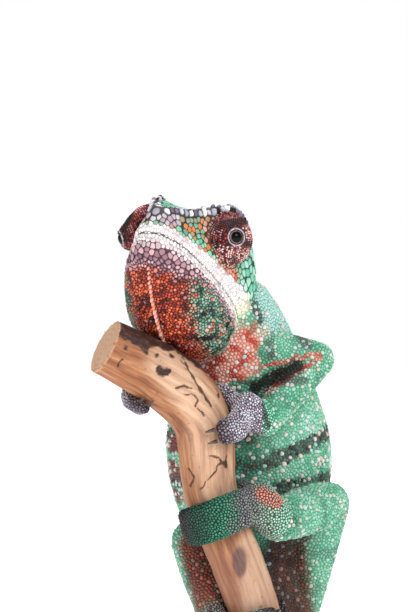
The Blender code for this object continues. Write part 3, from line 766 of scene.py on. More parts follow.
def tint(paint):  # a paint's name, or its red, green and blue, as the renderer's own colour
    paint = paints[paint] if isinstance(paint, str) else paint
    return tuple(((c / 255 + 0.055) / 1.055) ** 2.4 if c > 10 else c / 3295 for c in paint) + (1.0,)


class Wire:  # a socket of a finish's nodes, which can be reckoned with
    def __init__(self, tree, socket=None):
        self.tree = tree
        self.socket = socket

    def node(self, kind, settings=None, inputs=None, out=0):
        made = self.tree.nodes.new(kind)
        for key, value in (settings or {}).items():
            if key == "stops":
                ramp = made.color_ramp
                while len(ramp.elements) < len(value):
                    ramp.elements.new(0.5)
                for stop, (place, colour) in zip(ramp.elements, value.items()):
                    stop.position = place
                    stop.color = tint(colour)
            else:
                setattr(made, key, value)
        for key, value in (inputs or {}).items():
            if isinstance(value, Wire):
                self.tree.links.new(value.socket, made.inputs[key])
            else:
                made.inputs[key].default_value = value
        return Wire(self.tree, made.outputs[out])

    def maths(self, operation, first, second=0.0):
        return self.node("ShaderNodeMath", {"operation": operation}, {0: first, 1: second})

    def __add__(self, other):
        return self.maths("ADD", self, other)

    __radd__ = __add__

    def __sub__(self, other):
        return self.maths("SUBTRACT", self, other)

    def __rsub__(self, other):
        return self.maths("SUBTRACT", other, self)

    def __mul__(self, other):
        return self.maths("MULTIPLY", self, other)

    __rmul__ = __mul__

    def __truediv__(self, other):
        return self.maths("DIVIDE", self, other)

    def power(self, other):
        return self.maths("POWER", self, other)

    def most(self, other):
        return self.maths("MAXIMUM", self, other)

    def least(self, other):
        return self.maths("MINIMUM", self, other)

    def size(self):
        return self.maths("ABSOLUTE", self)

    def wave(self):
        return self.maths("SINE", self)

    def fraction(self):
        return self.maths("FRACT", self)

    def rises(self, low, high):
        return self.node("ShaderNodeMapRange", {"interpolation_type": "SMOOTHSTEP"},
                         {0: self, 1: low, 2: high, 3: 0.0, 4: 1.0})

    def within(self, low, high, soft):
        return self.rises(low - soft, low + soft) * (1 - self.rises(high - soft, high + soft))

    def field(self, name, out="Vector"):
        return self.node("ShaderNodeAttribute", {"attribute_name": name}, None, out)

    def here(self):  # the place in the piece's own frame, in metres
        return self.node("ShaderNodeTexCoord", None, None, "Object")

    def parts(self):
        made = self.tree.nodes.new("ShaderNodeSeparateXYZ")
        self.tree.links.new(self.socket, made.inputs[0])
        return [Wire(self.tree, made.outputs[k]) for k in range(3)]

    def noise(self, scale, detail=2.0, rough=0.5):
        return self.node("ShaderNodeTexNoise", None,
                         {"Vector": self, "Scale": scale, "Detail": detail, "Roughness": rough})

    def ramp(self, stops):
        return self.node("ShaderNodeValToRGB", {"stops": stops}, {0: self})

    def blend(self, first, second):
        first, second = (c if isinstance(c, Wire) else tint(c) for c in (first, second))
        return self.node("ShaderNodeMix", {"data_type": "RGBA"}, {0: self, 6: first, 7: second}, 2)

    def tone(self, colour):  # the colour made darker or lighter by this value
        return self.node("ShaderNodeVectorMath", {"operation": "SCALE"}, {0: colour, "Scale": self})

    def bump(self, strength, distance):
        return self.node("ShaderNodeBump", None,
                         {"Strength": strength, "Distance": distance, "Height": self})


def finish(name, roughness, **fixed):
    material = bpy.data.materials.new(name)
    material.use_nodes = True
    tree = material.node_tree
    tree.nodes.clear()
    shader = tree.nodes.new("ShaderNodeBsdfPrincipled")
    shader.inputs["Roughness"].default_value = roughness
    for key, value in fixed.items():
        shader.inputs[key.replace("_", " ")].default_value = value
    output = tree.nodes.new("ShaderNodeOutputMaterial")
    tree.links.new(shader.outputs[0], output.inputs[0])
    return material, Wire(tree), shader


def feed(shader, **wires):  # what changes over the surface
    for key, wire in wires.items():
        wire.tree.links.new(wire.socket, shader.inputs[key.replace("_", " ")])


def strongest(masks):
    out = masks[0]
    for mask in masks[1:]:
        out = out.most(mask)
    return out


def strokeMask(x, z, lines):  # soft strokes, each from one place to another and with a half width
    masks = []
    for (a, b), (c, d), wide in lines:
        length = math.hypot(c - a, d - b)
        u, v = (c - a) / length, (d - b) / length
        run = ((x - a) * u + (z - b) * v).most(0.0).least(length)
        away = ((x - a - run * u).power(2.0) + (z - b - run * v).power(2.0)).power(0.5)
        masks.append(away.rises(wide, wide * 0.4))
    return strongest(masks)


markWork = {
    "flankBars": [  # height, slope and half thickness
        (-38.9, 0.36, 2.7), (-46.5, 0.07, 2.1), (-60.0, 0.25, 2.2), (-67.5, 0.15, 1.9),
        (-80.0, 0.2, 2.2), (-87.0, 0.1, 1.8), (-21.0, 0.5, 1.4),
    ],
    "tailRing": 13.0,  # from one ring to the next
    "limbRing": 11.5,
    "front": {  # strokes on the front, across and up from the grip frame
        "nape": [((15.0, 3.0), (20.0, -6.0), 6.0)],
        "napeFold": [((12.4, 1.2), (14.4, -3.4), 1.5)],
        # painted shadow: a near-black patch in the hollow between the upper arm and the forearm
        "hollowShadow": [((13.2, -20.6), (24.0, -15.2), 2.7)],
        "elbowFolds": [((13, -23.0), (30, -13.0), 1.0), ((14, -15.6), (29, -12.0), 0.9)],
        "elbowShadows": [((16.6, -5.5), (17.2, -12.5), 1.9), ((24.6, -6.0), (26.5, -10.0), 1.9),
                         ((20.5, -19.2), (25.5, -18.6), 1.6)],
        "wrist": [((14.4, -24.5), (16.2, -30.0), 1.0)],
        "footFold": [((14.4, -46.2), (18.2, -48.6), 2.3)],
        # painted shadow on the belly and the tail's root, behind the left thigh
        "groinShadow": [((20.0, -64.0), (22.5, -88.0), 7.0)],
        "rightShin": [((-2.6, -61.5), (2.4, -79.0), 5.0)],
        "innerThigh": [((22.0, -65.0), (25.0, -86.0), 7.0)],
        "thighShadow": [((21.5, -64.5), (24.0, -88.0), 6.4)],
        "turretPale": [((3.6, 13.0), (9.4, 11.6), 3.2), ((10.2, 18.6), (11.2, 17.4), 1.8)],
        "turretBlots": [((3.4, 20.0), (9.8, 20.8), 1.7), ((8.6, 16.0), (12.0, 15.0), 1.3),
                        ((7.0, 11.4), (10.0, 8.4), 1.1), ((1.6, 17.0), (2.6, 14.0), 1.2),
                        ((-18.4, 23.0), (-20.4, 17.0), 1.4)],
    },
    "side": {  # strokes on both sides of the head, forward and up from the mouth's front
        "cheek": [((-4.5, 3.0), (-16.5, 3.4), 2.0)],
        "underEye": [((-17.6, 3.0), (-25.5, 2.6), 1.9)],
        "rim": [((-11.3, 12.0), (-13.2, 5.2), 1.5)],
    },
}


class Hide:  # what each place on the hide knows of itself
    def __init__(self, wire):
        self.root = wire.field("root")
        self.x, self.y, self.z = self.root.parts()
        self.headX, self.headY, self.headZ = wire.field("inHead").parts()
        self.along, self.around = wire.field("onBody").parts()[:2]
        self.limbAlong, _, self.limb = wire.field("onLimb").parts()
        self.head, self.jaw, self.turret = wire.field("partsOne").parts()
        self.neck, self.trunk, self.tail = wire.field("partsTwo").parts()
        self.arm, self.hand, self.leg = wire.field("partsThree").parts()
        self.foot, self.toClaw = wire.field("pawMarks").parts()[:2]
        self.faceX, self.faceY = wire.field("facing").parts()[:2]
        self.rise, self.shade, self.kind = wire.field("marks").parts()
        self.wide = self.root.noise(0.11, 3.0)
        self.fine = self.root.noise(0.42, 3.0)
        self.patch = self.root.noise(0.3, 2.0)
        self.green = (self.wide * 0.8 + self.fine * 0.25 + self.shade * 0.3 - 0.12).ramp(
            {0.15: "deepGreen", 0.42: "green", 0.72: "paleGreen", 1.0: "skyGreen"})
        self.tips = self.toClaw.rises(7.5, 3.0) * 0.85
        self.mouthGap = (self.headZ + pose["mouthSlope"] * self.headX.size()
                         + pose["mouthSag"] * self.headX * self.headX)
        widen = 0.04 * self.headX
        lipEdge = (self.mouthGap - 0.2 + widen).size() + 2.0 * (self.fine - 0.5) + widen
        self.lipBand = lipEdge.rises(2.6, 1.7) * self.headX.rises(-42, -39)
        self.lipColour = self.headX.rises(-28, -35).blend(
            (self.shade * 0.8 + self.fine * 0.6 - 0.12).ramp(
                {0.08: (186, 152, 164), 0.22: (214, 190, 196), 0.46: "lip", 0.8: "white"}), "cream")

    def front(self, name):
        return strokeMask(self.x, self.z, markWork["front"][name])

    def side(self, name):
        return strokeMask(self.headX, self.headZ, markWork["side"][name])

    def isKind(self, first, last=None):
        return self.kind.within(kindNames.index(first) - 0.4, kindNames.index(last or first) + 0.4, 0.2)

    def mixed(self, shade, fine, lift=0.0):  # a value that changes from scale to scale and in patches
        return self.shade * shade + self.fine * fine + lift


def trunkColour(s):  # the flank's bars slope up towards the back
    across = (s.x - 12).size()
    wobble = 3.4 * (s.fine - 0.5) + 1.6 * (s.wide - 0.5)
    bars = strongest([(s.z - height - slope * (across - 7) + wobble).size().rises(thick, thick * 0.55)
                      for height, slope, thick in markWork["flankBars"]])
    colour = (bars * (0.6 + 0.4 * s.shade)).blend(s.green, "bar")
    under = (s.around.size() + 22 * (s.fine - 0.5)).rises(34, 16)
    underColour = (s.mixed(0.4, 1.1, -0.1) + 0.2 * (s.z * 0.8).wave()).ramp(
        {0.2: (50, 34, 34), 0.42: (98, 62, 56), 0.6: "teal", 0.8: "green"})
    colour = (under * 0.75).blend(colour, underColour)
    # painted shadow on the belly behind the left thigh
    groinShadow = s.front("groinShadow") * s.faceY.rises(0.1, -0.3) * s.trunk
    colour = (groinShadow * 0.92).blend(colour, (58, 36, 34))
    strip = s.x.rises(-4.5, -7.0) * s.z.within(-54, -26, 3) * s.trunk
    strip = strip * (s.faceY + 0.5 * (s.fine - 0.5)).rises(-0.05, -0.4)
    streaks = (0.5 + 0.5 * (s.z * 0.9 + 5 * s.fine).wave()).rises(0.15, 0.5)
    return (strip * streaks).blend(colour, (118, 66, 68))


def neckColour(s):
    zigzag = (s.x * 0.9 + s.z * 0.35 + 3.0 * s.fine + 2.2 * (s.z * 0.7 + 2 * s.wide).wave()).wave()
    chest = (zigzag * 0.34 + 0.56 + 0.3 * (s.shade - 0.5)).ramp(
        {0.0: "maroon", 0.14: (176, 66, 58), 0.42: (220, 116, 98), 0.75: (234, 172, 156)})
    nape = (s.front("nape") * s.faceY.rises(0.3, -0.3) * 0.8).blend(s.green, "skyGreen")
    colour = (s.around.size() + 26 * (s.fine - 0.5)).rises(46, 74).blend(chest, nape)
    return (s.front("napeFold") * 0.85).blend(colour, "bar")


def tailColour(s):
    ring = ((s.along + 5 * (s.fine - 0.5)) / markWork["tailRing"]).fraction()
    ringColour = s.mixed(0.3, 1.0, -0.1).ramp({0.2: "bar", 0.5: "rust", 0.8: "slate"})
    return ring.within(0.3, 0.62, 0.05).blend(s.green, ringColour)


def limbColour(s):
    ring = ((s.limbAlong + 5 * (s.wide - 0.5) + 5 * (s.fine - 0.5)) / markWork["limbRing"] + 0.08).fraction()
    bars = ring.within(0.14, 0.34, 0.07) * s.mixed(0.3, 1.4, -0.1).rises(0.3, 0.6) * 0.24
    colour = bars.blend(s.green, "bar")
    folds = s.front("elbowFolds") * s.arm.rises(0.3, 0.6) * (0 - s.faceY).rises(-0.3, 0.3)
    foldColour = s.mixed(0.3, 1.0).ramp({0.3: "rust", 0.6: (206, 92, 74), 0.9: "pink"})
    colour = (folds * 0.9).blend(colour, foldColour)
    shadows = s.front("elbowShadows") * (0 - s.faceY).rises(-0.2, 0.2)
    colour = (shadows * (s.fine * 1.4).least(0.75) * s.arm).blend(colour, (74, 52, 66))
    wrist = s.front("wrist") * (s.arm + s.hand).rises(0.4, 0.8)
    colour = (wrist * 0.85).blend(colour, "bar")
    isLeft = 1 - (s.limb.within(0.5, 1.5, 0.1) + s.limb.rises(2.4, 2.6))
    # the limbs' inner faces: partly their own reddish brown and partly painted shade where they turn from
    # the light, strongest on the inner thigh and the right shin
    inner = (0.25 * s.faceY - s.faceX * (2 * isLeft - 1) + 0.3 * (s.fine - 0.5)).rises(0.0, 0.4)
    thigh = s.front("innerThigh") * s.y.rises(7, 12) * s.faceY.rises(0.1, -0.3)
    inner = strongest([inner * 0.8 * (s.leg + 0.55 * s.arm), s.front("rightShin") * s.leg, thigh])
    innerColour = s.mixed(0.3, 1.0, -0.1).ramp({0.25: (60, 30, 30), 0.5: (126, 60, 50), 0.8: "brown"})
    return (inner * (0.6 + 0.4 * s.shade)).blend(colour, innerColour)


def handColour(s):
    colour = s.mixed(0.3, 0.9).ramp({0.2: (98, 84, 96), 0.5: (148, 138, 150), 0.8: (188, 186, 198)})
    return s.tips.blend(colour, (66, 46, 50))


def footColour(s):
    # darker towards the left, where the foot turns from the light: partly painted shade and partly the
    # foot's own dark green and mauve
    across = (s.x + 6 * (s.fine - 0.5) + 2.5 * (s.shade - 0.5) + 8) / 32
    colour = across.ramp({0.06: (40, 38, 44), 0.24: (34, 80, 62), 0.42: (54, 118, 92),
                          0.56: (104, 100, 106), 0.7: (124, 138, 126), 0.9: (136, 184, 160)})
    colour = (s.front("footFold") * (0.5 + 0.5 * s.shade)).blend(colour, (196, 106, 92))
    rightFoot = s.mixed(0.5, 0.8, -0.1).ramp({0.2: (74, 58, 66), 0.5: (112, 98, 104), 0.85: (110, 148, 130)})
    colour = s.z.rises(-64, -68).blend(colour, rightFoot)
    return s.tips.blend(colour, (54, 42, 44))


def headColour(s):
    colour = s.mixed(0.5, 0.7).ramp({0.2: "teal", 0.45: (110, 190, 160), 0.7: "paleGreen", 0.95: "skyGreen"})
    muzzle = (s.patch * 0.75 + s.shade * 0.42 - 0.08).ramp(
        {0.15: "rust", 0.28: "orange", 0.4: "olive", 0.52: (150, 158, 142), 0.64: "green", 0.76: "mauve",
         0.9: "grey"})
    lore = s.headX.rises(-30, -24) * (s.headZ + 2 * s.fine).within(1.5, 12.0, 1.5)
    colour = lore.blend(colour, muzzle)
    cheekColour = s.mixed(0.6, 0.4).ramp({0.2: "teal", 0.5: (104, 196, 156), 0.8: "paleGreen"})
    colour = (s.side("cheek") * s.shade.rises(0.05, 0.2)).blend(colour, cheekColour)
    plateColour = s.mixed(1.0, 0.2).ramp({0.2: (190, 76, 50), 0.7: (230, 108, 66), 1.0: "pink"})
    rim = s.side("rim") * s.headY.size().rises(5, 7) * s.shade.rises(0.15, 0.3)
    colour = (rim * 0.9).blend(colour, plateColour)
    x, _, z = pose["turretPlace"]
    orbit = ((s.headX - x).power(2.0) + (s.headZ - z).power(2.0)).power(0.5)
    behindEye = orbit.rises(12.5, 10.0) * s.headX.rises(-20, -23) * s.headZ.rises(8, 11)
    colour = (behindEye * 0.85).blend(colour, s.shade.ramp({0.3: "black", 0.8: "slate"}))
    knob = s.headX.rises(-8, -5) * s.headZ.rises(2.6, 3.6) * s.headY.size().rises(5.2, 4.2)
    colour = knob.blend(colour, s.mixed(0.8, 0.3).ramp({0.2: "mauve", 0.8: "grey"}))
    colour = s.lipBand.blend(colour, s.lipColour)
    return s.side("underEye").blend(colour, plateColour)


def jawColour(s):
    middle = (s.headY.size() + 6 * (s.wide - 0.5) + 3 * (s.fine - 0.5)).rises(9.5, 6.0)
    redThroat = s.mixed(0.6, 0.7, -0.15).ramp(
        {0.12: "maroon", 0.34: "rust", 0.58: "red", 0.86: "orange", 1.0: "pink"})
    sides = (s.shade * 0.5 + s.patch * 1.5 - 0.5).ramp(
        {0.1: "black", 0.3: (52, 84, 72), 0.5: (96, 146, 126), 0.72: (138, 176, 152), 0.95: "grey"})
    sides = (s.shade.rises(0.78, 0.86) * s.patch.rises(0.35, 0.6)).blend(sides, "red")
    colour = middle.blend(sides, redThroat)
    colour = (s.patch.rises(0.47, 0.35) * 0.82).blend(colour, "black")
    chin = (s.mouthGap + 3.6 + 3.4 * s.headX.rises(-18, -5) + 2.4 * (s.fine - 0.5)).rises(-0.9, 0.9)
    chinColour = s.mixed(0.7, 0.5, -0.1).ramp(
        {0.1: (116, 78, 90), 0.45: (158, 118, 132), 0.75: (196, 160, 166), 1.0: "pink"})
    chinColour = (s.mouthGap.rises(-3.8, -2.0) * 0.5).blend(chinColour, "lip")
    colour = chin.blend(colour, chinColour)
    return s.lipBand.blend(colour, s.lipColour)


def turretColour(s):
    colour = (s.shade * 0.5 + (s.patch - 0.5) * 1.5 + 0.3).ramp(
        {0.1: "black", 0.34: "maroon", 0.56: (166, 62, 50), 0.8: "mauve", 0.96: "pink"})
    pale = s.mixed(1.0, 0.3).ramp({0.4: "mauve", 0.8: "pink", 1.0: (232, 200, 196)})
    colour = (s.front("turretPale") * s.shade.rises(0.3, 0.6)).blend(colour, pale)
    blots = s.front("turretBlots") * (s.turret * 0.9) * (s.shade + 0.45).least(1.0)
    colour = blots.blend(colour, "black")
    return s.isKind("lid").blend(colour, s.shade.ramp({0.2: "slate", 0.6: "grey"}))


def scaleColours(s, colour):  # the scales that are painted by their kind
    crest = s.isKind("crest", "spine")
    crestColour = s.mixed(0.8, 0.4).ramp(
        {0.15: (62, 50, 62), 0.4: (130, 118, 132), 0.7: (178, 178, 190), 1.0: "white"})
    colour = (crest * (1 - s.jaw * 0.8)).blend(colour, crestColour)
    browColour = s.mixed(0.9, 0.2).ramp(
        {0.25: "black", 0.4: (96, 82, 98), 0.7: (176, 170, 182), 1.0: "white"})
    colour = s.isKind("brow").blend(colour, browColour)
    colour = (crest * s.jaw).blend(colour, s.shade.ramp({0.1: "orange", 0.6: "pink"}))
    pale = s.mixed(1.0, 0.1).ramp({0.1: "skyGreen", 0.5: "lip", 1.0: (226, 188, 178)})
    pale = s.jaw.blend(pale, s.mixed(1.0, 0.2).ramp({0.2: "mauve", 0.6: "pink", 1.0: "orange"}))
    bold = s.isKind("tubercle") * (0.8 - 0.35 * (s.jaw + s.arm + s.leg + s.foot))
    return bold.blend(colour, pale)


def paintedShade(s, colour):  # painted shade under the limbs: a shadow behind the left thigh, a near-black shadow in the hollow by the elbow, and a dark red on the right shin that is partly painted shade
    shin = s.front("rightShin") * s.leg * (s.faceY.rises(0.2, -0.2) * 0.72)
    shinColour = s.mixed(0.5, 0.7).ramp({0.2: (72, 32, 32), 0.6: (134, 58, 48), 1.0: (168, 84, 68)})
    colour = shin.blend(colour, shinColour)
    thigh = s.front("thighShadow") * s.y.rises(7, 12) * (s.faceY.rises(0.1, -0.3) * 0.8)
    thighColour = s.mixed(0.4, 0.9).ramp({0.2: (30, 20, 20), 0.6: (70, 42, 38), 1.0: (120, 74, 60)})
    colour = thigh.blend(colour, thighColour)
    # painted shadow in the hollow by the elbow
    hollowShadow = s.front("hollowShadow") * (0 - s.faceY).rises(-0.3, 0.3) * (s.neck + s.trunk + s.arm).rises(0.3, 0.7)
    return (hollowShadow * 0.95).blend(colour, (22, 14, 12))


def markings(s):
    colour = trunkColour(s)
    for share, partColour in ((s.neck, neckColour), (s.tail, tailColour),
                              ((s.arm + s.hand).most(s.leg), limbColour),
                              (s.hand * s.x.rises(16.0, 13.5), handColour), (s.head, headColour),
                              (s.jaw, jawColour), (s.foot, footColour)):
        colour = share.rises(0.25, 0.75).blend(colour, partColour(s))
    paws, face = s.hand + s.foot, s.head + s.jaw
    # painted shade in the mouth's crease, strongest at the front
    mouthShade = s.mouthGap.size().rises(0.42, 0.2) * s.headX.rises(-39, -37) * s.rise.rises(0.4, 0.1)
    mouthShade = mouthShade * face.rises(0.5, 0.9) * (0.2 + 0.6 * s.headX.rises(-14, -4))
    colour = mouthShade.blend(colour, (60, 34, 36))
    colour = s.turret.rises(0.45, 0.6).blend(colour, turretColour(s))
    colour = paintedShade(s, scaleColours(s, colour))
    # dark between scales, partly the darker skin there and partly painted shade: deepest on the throat and
    # the face
    dark = 0.5 - 0.4 * (face + s.turret) - 0.36 * paws + 0.48 * (s.lipBand * face)
    lit = dark + (1 - dark) * s.rise.rises(-0.1, 0.75)
    # painted highlight on the tops of the paws' scales
    return (lit * (1 + paws * s.rise.rises(0.5, 1.0) * (0.2 + 0.6 * s.shade))).tone(colour)


def hideFinish():
    material, wire, shader = finish("hideFinish", 0.5, Specular_IOR_Level=0.2)
    s = Hide(wire)
    grain = wire.here().noise(4200.0, 2.0)
    feed(shader, Base_Color=markings(s), Roughness=0.42 + 0.22 * s.shade, Normal=grain.bump(0.25, 0.00008))
    return material


hide = hideFinish()
for piece in (*coatPieces, skin):
    piece.data.materials.append(hide)
    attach(piece, "root")
for name in fleshNodes:
    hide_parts(name)
print("hide: painted")


eyeWork = {
    "radius": 2.05,
    "sink": 1.6,  # how far its middle lies inside the turret's end
    "pupil": 0.68,  # its share of the radius
    "lidRing": 2.06,
    "lidThick": 0.2,
    "lidSink": 0.35,
}


def settled(name):  # the newest piece, with its place put into its mesh
    piece = bpy.context.view_layer.objects.active
    bpy.ops.object.transform_apply(location=True, rotation=True, scale=True)
    bpy.ops.object.shade_smooth()
    piece.name = piece.data.name = name
    return piece


def makeEye(side):
    centre = Vector(turretCentre(side))
    axis = Vector(pose["gaze"][side]).normalized()
    turn = axis.to_track_quat("Z", "Y").to_euler()
    ballPlace = (centre + axis * (pose["turretReach"] - eyeWork["sink"])) * mm
    bpy.ops.object.select_all(action="DESELECT")
    bpy.ops.mesh.primitive_uv_sphere_add(segments=48, ring_count=32, radius=eyeWork["radius"] * mm,
                                         location=ballPlace, rotation=turn)
    ball = settled("eye_" + side)
    off = points(ball) - np.array(ballPlace) / mm
    height = off @ np.array(axis)
    note(ball, "fromPupil", np.linalg.norm(off - height[:, None] * np.array(axis), axis=1))
    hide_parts("eyeball_" + side)
    ringPlace = (centre + axis * (pose["turretReach"] - eyeWork["lidSink"])) * mm
    bpy.ops.object.select_all(action="DESELECT")
    bpy.ops.mesh.primitive_torus_add(
        major_radius=eyeWork["lidRing"] * mm, minor_radius=eyeWork["lidThick"] * mm,
        major_segments=56, minor_segments=14, location=ringPlace, rotation=turn)
    ring = settled("lid_" + side)
    for piece in (ball, ring):
        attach(piece, "root")
    return ball, ring


def ballFinish():
    material, wire, shader = finish("eyeFinish", 0.12, Specular_IOR_Level=0.12)
    pupil = eyeWork["pupil"]
    colour = (wire.field("fromPupil", "Fac") / eyeWork["radius"]).ramp(
        {0.0: (6, 4, 6), pupil: (6, 4, 6), pupil + 0.03: (120, 92, 84), 0.77: (150, 124, 112),
         0.82: (36, 24, 26), 1.0: (22, 14, 16)})
    feed(shader, Base_Color=colour)
    return material


def lidFinish():
    material, wire, shader = finish("lidFinish", 0.45)
    grain = wire.here().noise(1800.0, 2.0)
    colour = grain.ramp({0.3: (96, 80, 92), 0.5: (160, 150, 160), 0.75: "grey"})
    feed(shader, Base_Color=colour, Normal=grain.bump(0.6, 0.00012))
    return material


eyePaint, lidPaint = ballFinish(), lidFinish()
for side in pose["gaze"]:
    ball, ring = makeEye(side)
    ball.data.materials.append(eyePaint)
    ring.data.materials.append(lidPaint)
print("eyes and lids: made")


branchWork = {
    "voxel": 0.42,
    "rounds": 70,  # of smoothing
    "dents": 0.16,
    "fibres": 0.09,
    "barkRise": 0.16,
    "knotDeep": 0.5,
    "grooveWide": 0.34,
    "waver": 0.5,  # how far the tracks stray from their lines
    "grooveDeep": 0.36,
    "grooves": [  # beetle tracks and cracks on the front, across and up from the grip frame
        [(-5.3, -12.6), (-2.6, -17.2), (-0.3, -20.9), (2.0, -24.5)],
        [(-6.7, -20.0), (-4.9, -19.5), (-2.6, -20.5)],
        [(-4.4, -21.6), (-2.6, -22.0), (-1.2, -23.2), (-1.9, -24.6), (0.0, -26.9)],
        [(0.4, -37.3), (2.9, -37.3), (5.2, -38.7), (5.9, -36.9)],
        [(4.3, -38.7), (1.5, -42.4), (-0.8, -45.4)],
        [(-4.0, -40.4), (-2.6, -42.4), (-3.5, -44.7)],
        [(3.2, -20.6), (4.0, -22.3)],
        [(-20.9, -14.7), (-19.6, -12.9)],
    ],
    "bark": [  # along from the upper end, angle round, and their half sizes
        (4.2, 98, 7.0, 38), (12.0, 110, 4.5, 30), (20.0, 114, 4.0, 22), (13.4, 43, 1.6, 10),
        (43.5, 40, 0.8, 6), (60, 150, 9, 30), (108, -120, 12, 26), (30, -150, 8, 30),
    ],
    "knots": [((8.8, -63.2), 2.0, 4.2), ((15.0, -99.0), 1.4, 2.6)],  # across and up, half sizes
    "splinters": 9,
    "paleHighlight": [  # painted highlight: strokes of pale wood where the light falls, across and up from the grip frame, and how strong
        (((-9.0, -13.5), (1.5, -27.0), 7.0), 1.0), (((0.5, -30.0), (4.5, -50.0), 7.0), 0.8),
        (((12.5, -60.0), (18.0, -130.0), 6.0), 0.8),
    ],
}


def ripple(places):
    return np.array([noise.noise(Vector(p)) for p in places])


def nearLines(x, z, lines):
    best = np.full(len(x), 1e9)
    for line in lines:
        bend = curved([(a, b) for a, b in line], 6)
        for (a, b), (c, d) in zip(bend, bend[1:]):
            length2 = (c - a) ** 2 + (d - b) ** 2
            t = np.clip(((x - a) * (c - a) + (z - b) * (d - b)) / length2, 0, 1)
            best = np.minimum(best, np.hypot(x - a - t * (c - a), z - b - t * (d - b)))
    return best


def splinterRing(piece, radius, outward):  # thin slivers left standing round a sawn end
    out = [piece]
    k = 0 if outward < 0 else len(branchCourse.line) - 1
    centre, ahead = branchCourse.line[k], branchCourse.ahead[k] * outward
    side, under = branchCourse.side[k], branchCourse.under[k]
    for _ in range(branchWork["splinters"]):
        a = chance.uniform(0, 2 * math.pi)
        wide, long = chance.uniform(0.12, 0.34), chance.uniform(0.4, 1.5)
        lean = chance.uniform(-0.4, 0.4, 3)
        way = Vector(unit(ahead + lean))
        rimWay = side * math.sin(a) + under * math.cos(a)
        place = centre + rimWay * (radius - 0.45) + ahead * (0.42 * long - 0.35)
        bpy.ops.object.select_all(action="DESELECT")
        bpy.ops.mesh.primitive_cone_add(vertices=5, radius1=wide * mm, radius2=0.04 * mm, depth=long * mm,
                                        location=place * mm, rotation=way.to_track_quat("Z", "Y").to_euler())
        out.append(bpy.context.view_layer.objects.active)
    pickUp(*out)
    bpy.ops.object.join()
    return bpy.context.view_layer.objects.active


def makeBranch():
    branch = copyNode("perch_branch")
    branch.name = branch.data.name = "branch_wood"
    apply(branch, "REMESH", mode="VOXEL", voxel_size=branchWork["voxel"] * mm)
    edges, degree = edgesOf(branch)
    places = points(branch)
    ends = np.stack([(places - branchCourse.line[0]) @ -branchCourse.ahead[0],
                     (places - branchCourse.line[-1]) @ branchCourse.ahead[-1]], 1).max(1)
    hold = smooth(ends, -1.2, -0.4)[:, None]
    for _ in range(branchWork["rounds"]):
        moved = evened(evened(places, edges, degree, 0.6), edges, degree, -0.62)
        places = places * hold + moved * (1 - hold)
    setPoints(branch, places)
    way = normals(branch)
    inGrip = places - gripPlace
    course = branchCourse.measure(places)
    along, angle = course[:, 0], course[:, 1]
    front = way[:, 1] < 0.25
    waver = np.column_stack([ripple(places * 0.7), ripple(places * 0.5 + 9)])
    traced = inGrip[:, [0, 2]] + branchWork["waver"] * waver
    gap = np.where(front, nearLines(traced[:, 0], traced[:, 1], branchWork["grooves"]), 1e9)
    gap = gap / (1.0 + 0.8 * waver[:, 1])
    groove = np.exp(-(gap / branchWork["grooveWide"]) ** 2)
    bark = np.zeros(len(places))
    ragged = ripple(np.column_stack([along * 0.5, angle * 0.06, np.full(len(places), 3.0)]))
    for a, t, long, wide in branchWork["bark"]:
        turn = np.abs((angle - t + 180) % 360 - 180)
        patch = 1.35 - ((along - a) / long) ** 4 - (turn / wide) ** 2 + 1.4 * ragged
        bark = np.maximum(bark, smooth(patch, 0.3, 0.55))
    bark *= ends < -0.35
    knot = np.zeros(len(places))
    for (x, z), wide, tall in branchWork["knots"]:
        r = np.hypot((inGrip[:, 0] - x) / wide, (inGrip[:, 2] - z) / tall)
        knot = np.maximum(knot, np.where(front, smooth(r, 1.15, 0.7), 0))
    dents = ripple(places * 0.22)
    radians = np.radians(angle)
    fibres = ripple(np.column_stack([9 * np.sin(radians), 9 * np.cos(radians), along * 0.07]))
    shaft = 1 - smooth(ends, -0.8, -0.2)
    rise = (branchWork["dents"] * (dents - 0.6) + branchWork["fibres"] * (fibres - 0.5)) * shaft
    rise += branchWork["barkRise"] * bark - branchWork["grooveDeep"] * groove
    rise -= branchWork["knotDeep"] * knot * (0.4 + fibres)
    setPoints(branch, places + way * rise[:, None])
    note(branch, "grainPlace", np.column_stack([7 * np.sin(radians), 7 * np.cos(radians), along * 0.1]))
    note(branch, "gripAt", inGrip)
    note(branch, "woodMarks", np.column_stack([groove, bark, knot]))
    note(branch, "sawn", np.column_stack([smooth(ends, -0.5, -0.1), course[:, 2], along]))
    branch = splinterRing(branch, 7.0, -1)
    branch = splinterRing(branch, 6.7, 1)
    pickUp(branch)
    bpy.ops.object.shade_smooth_by_angle(angle=math.radians(40))
    return branch


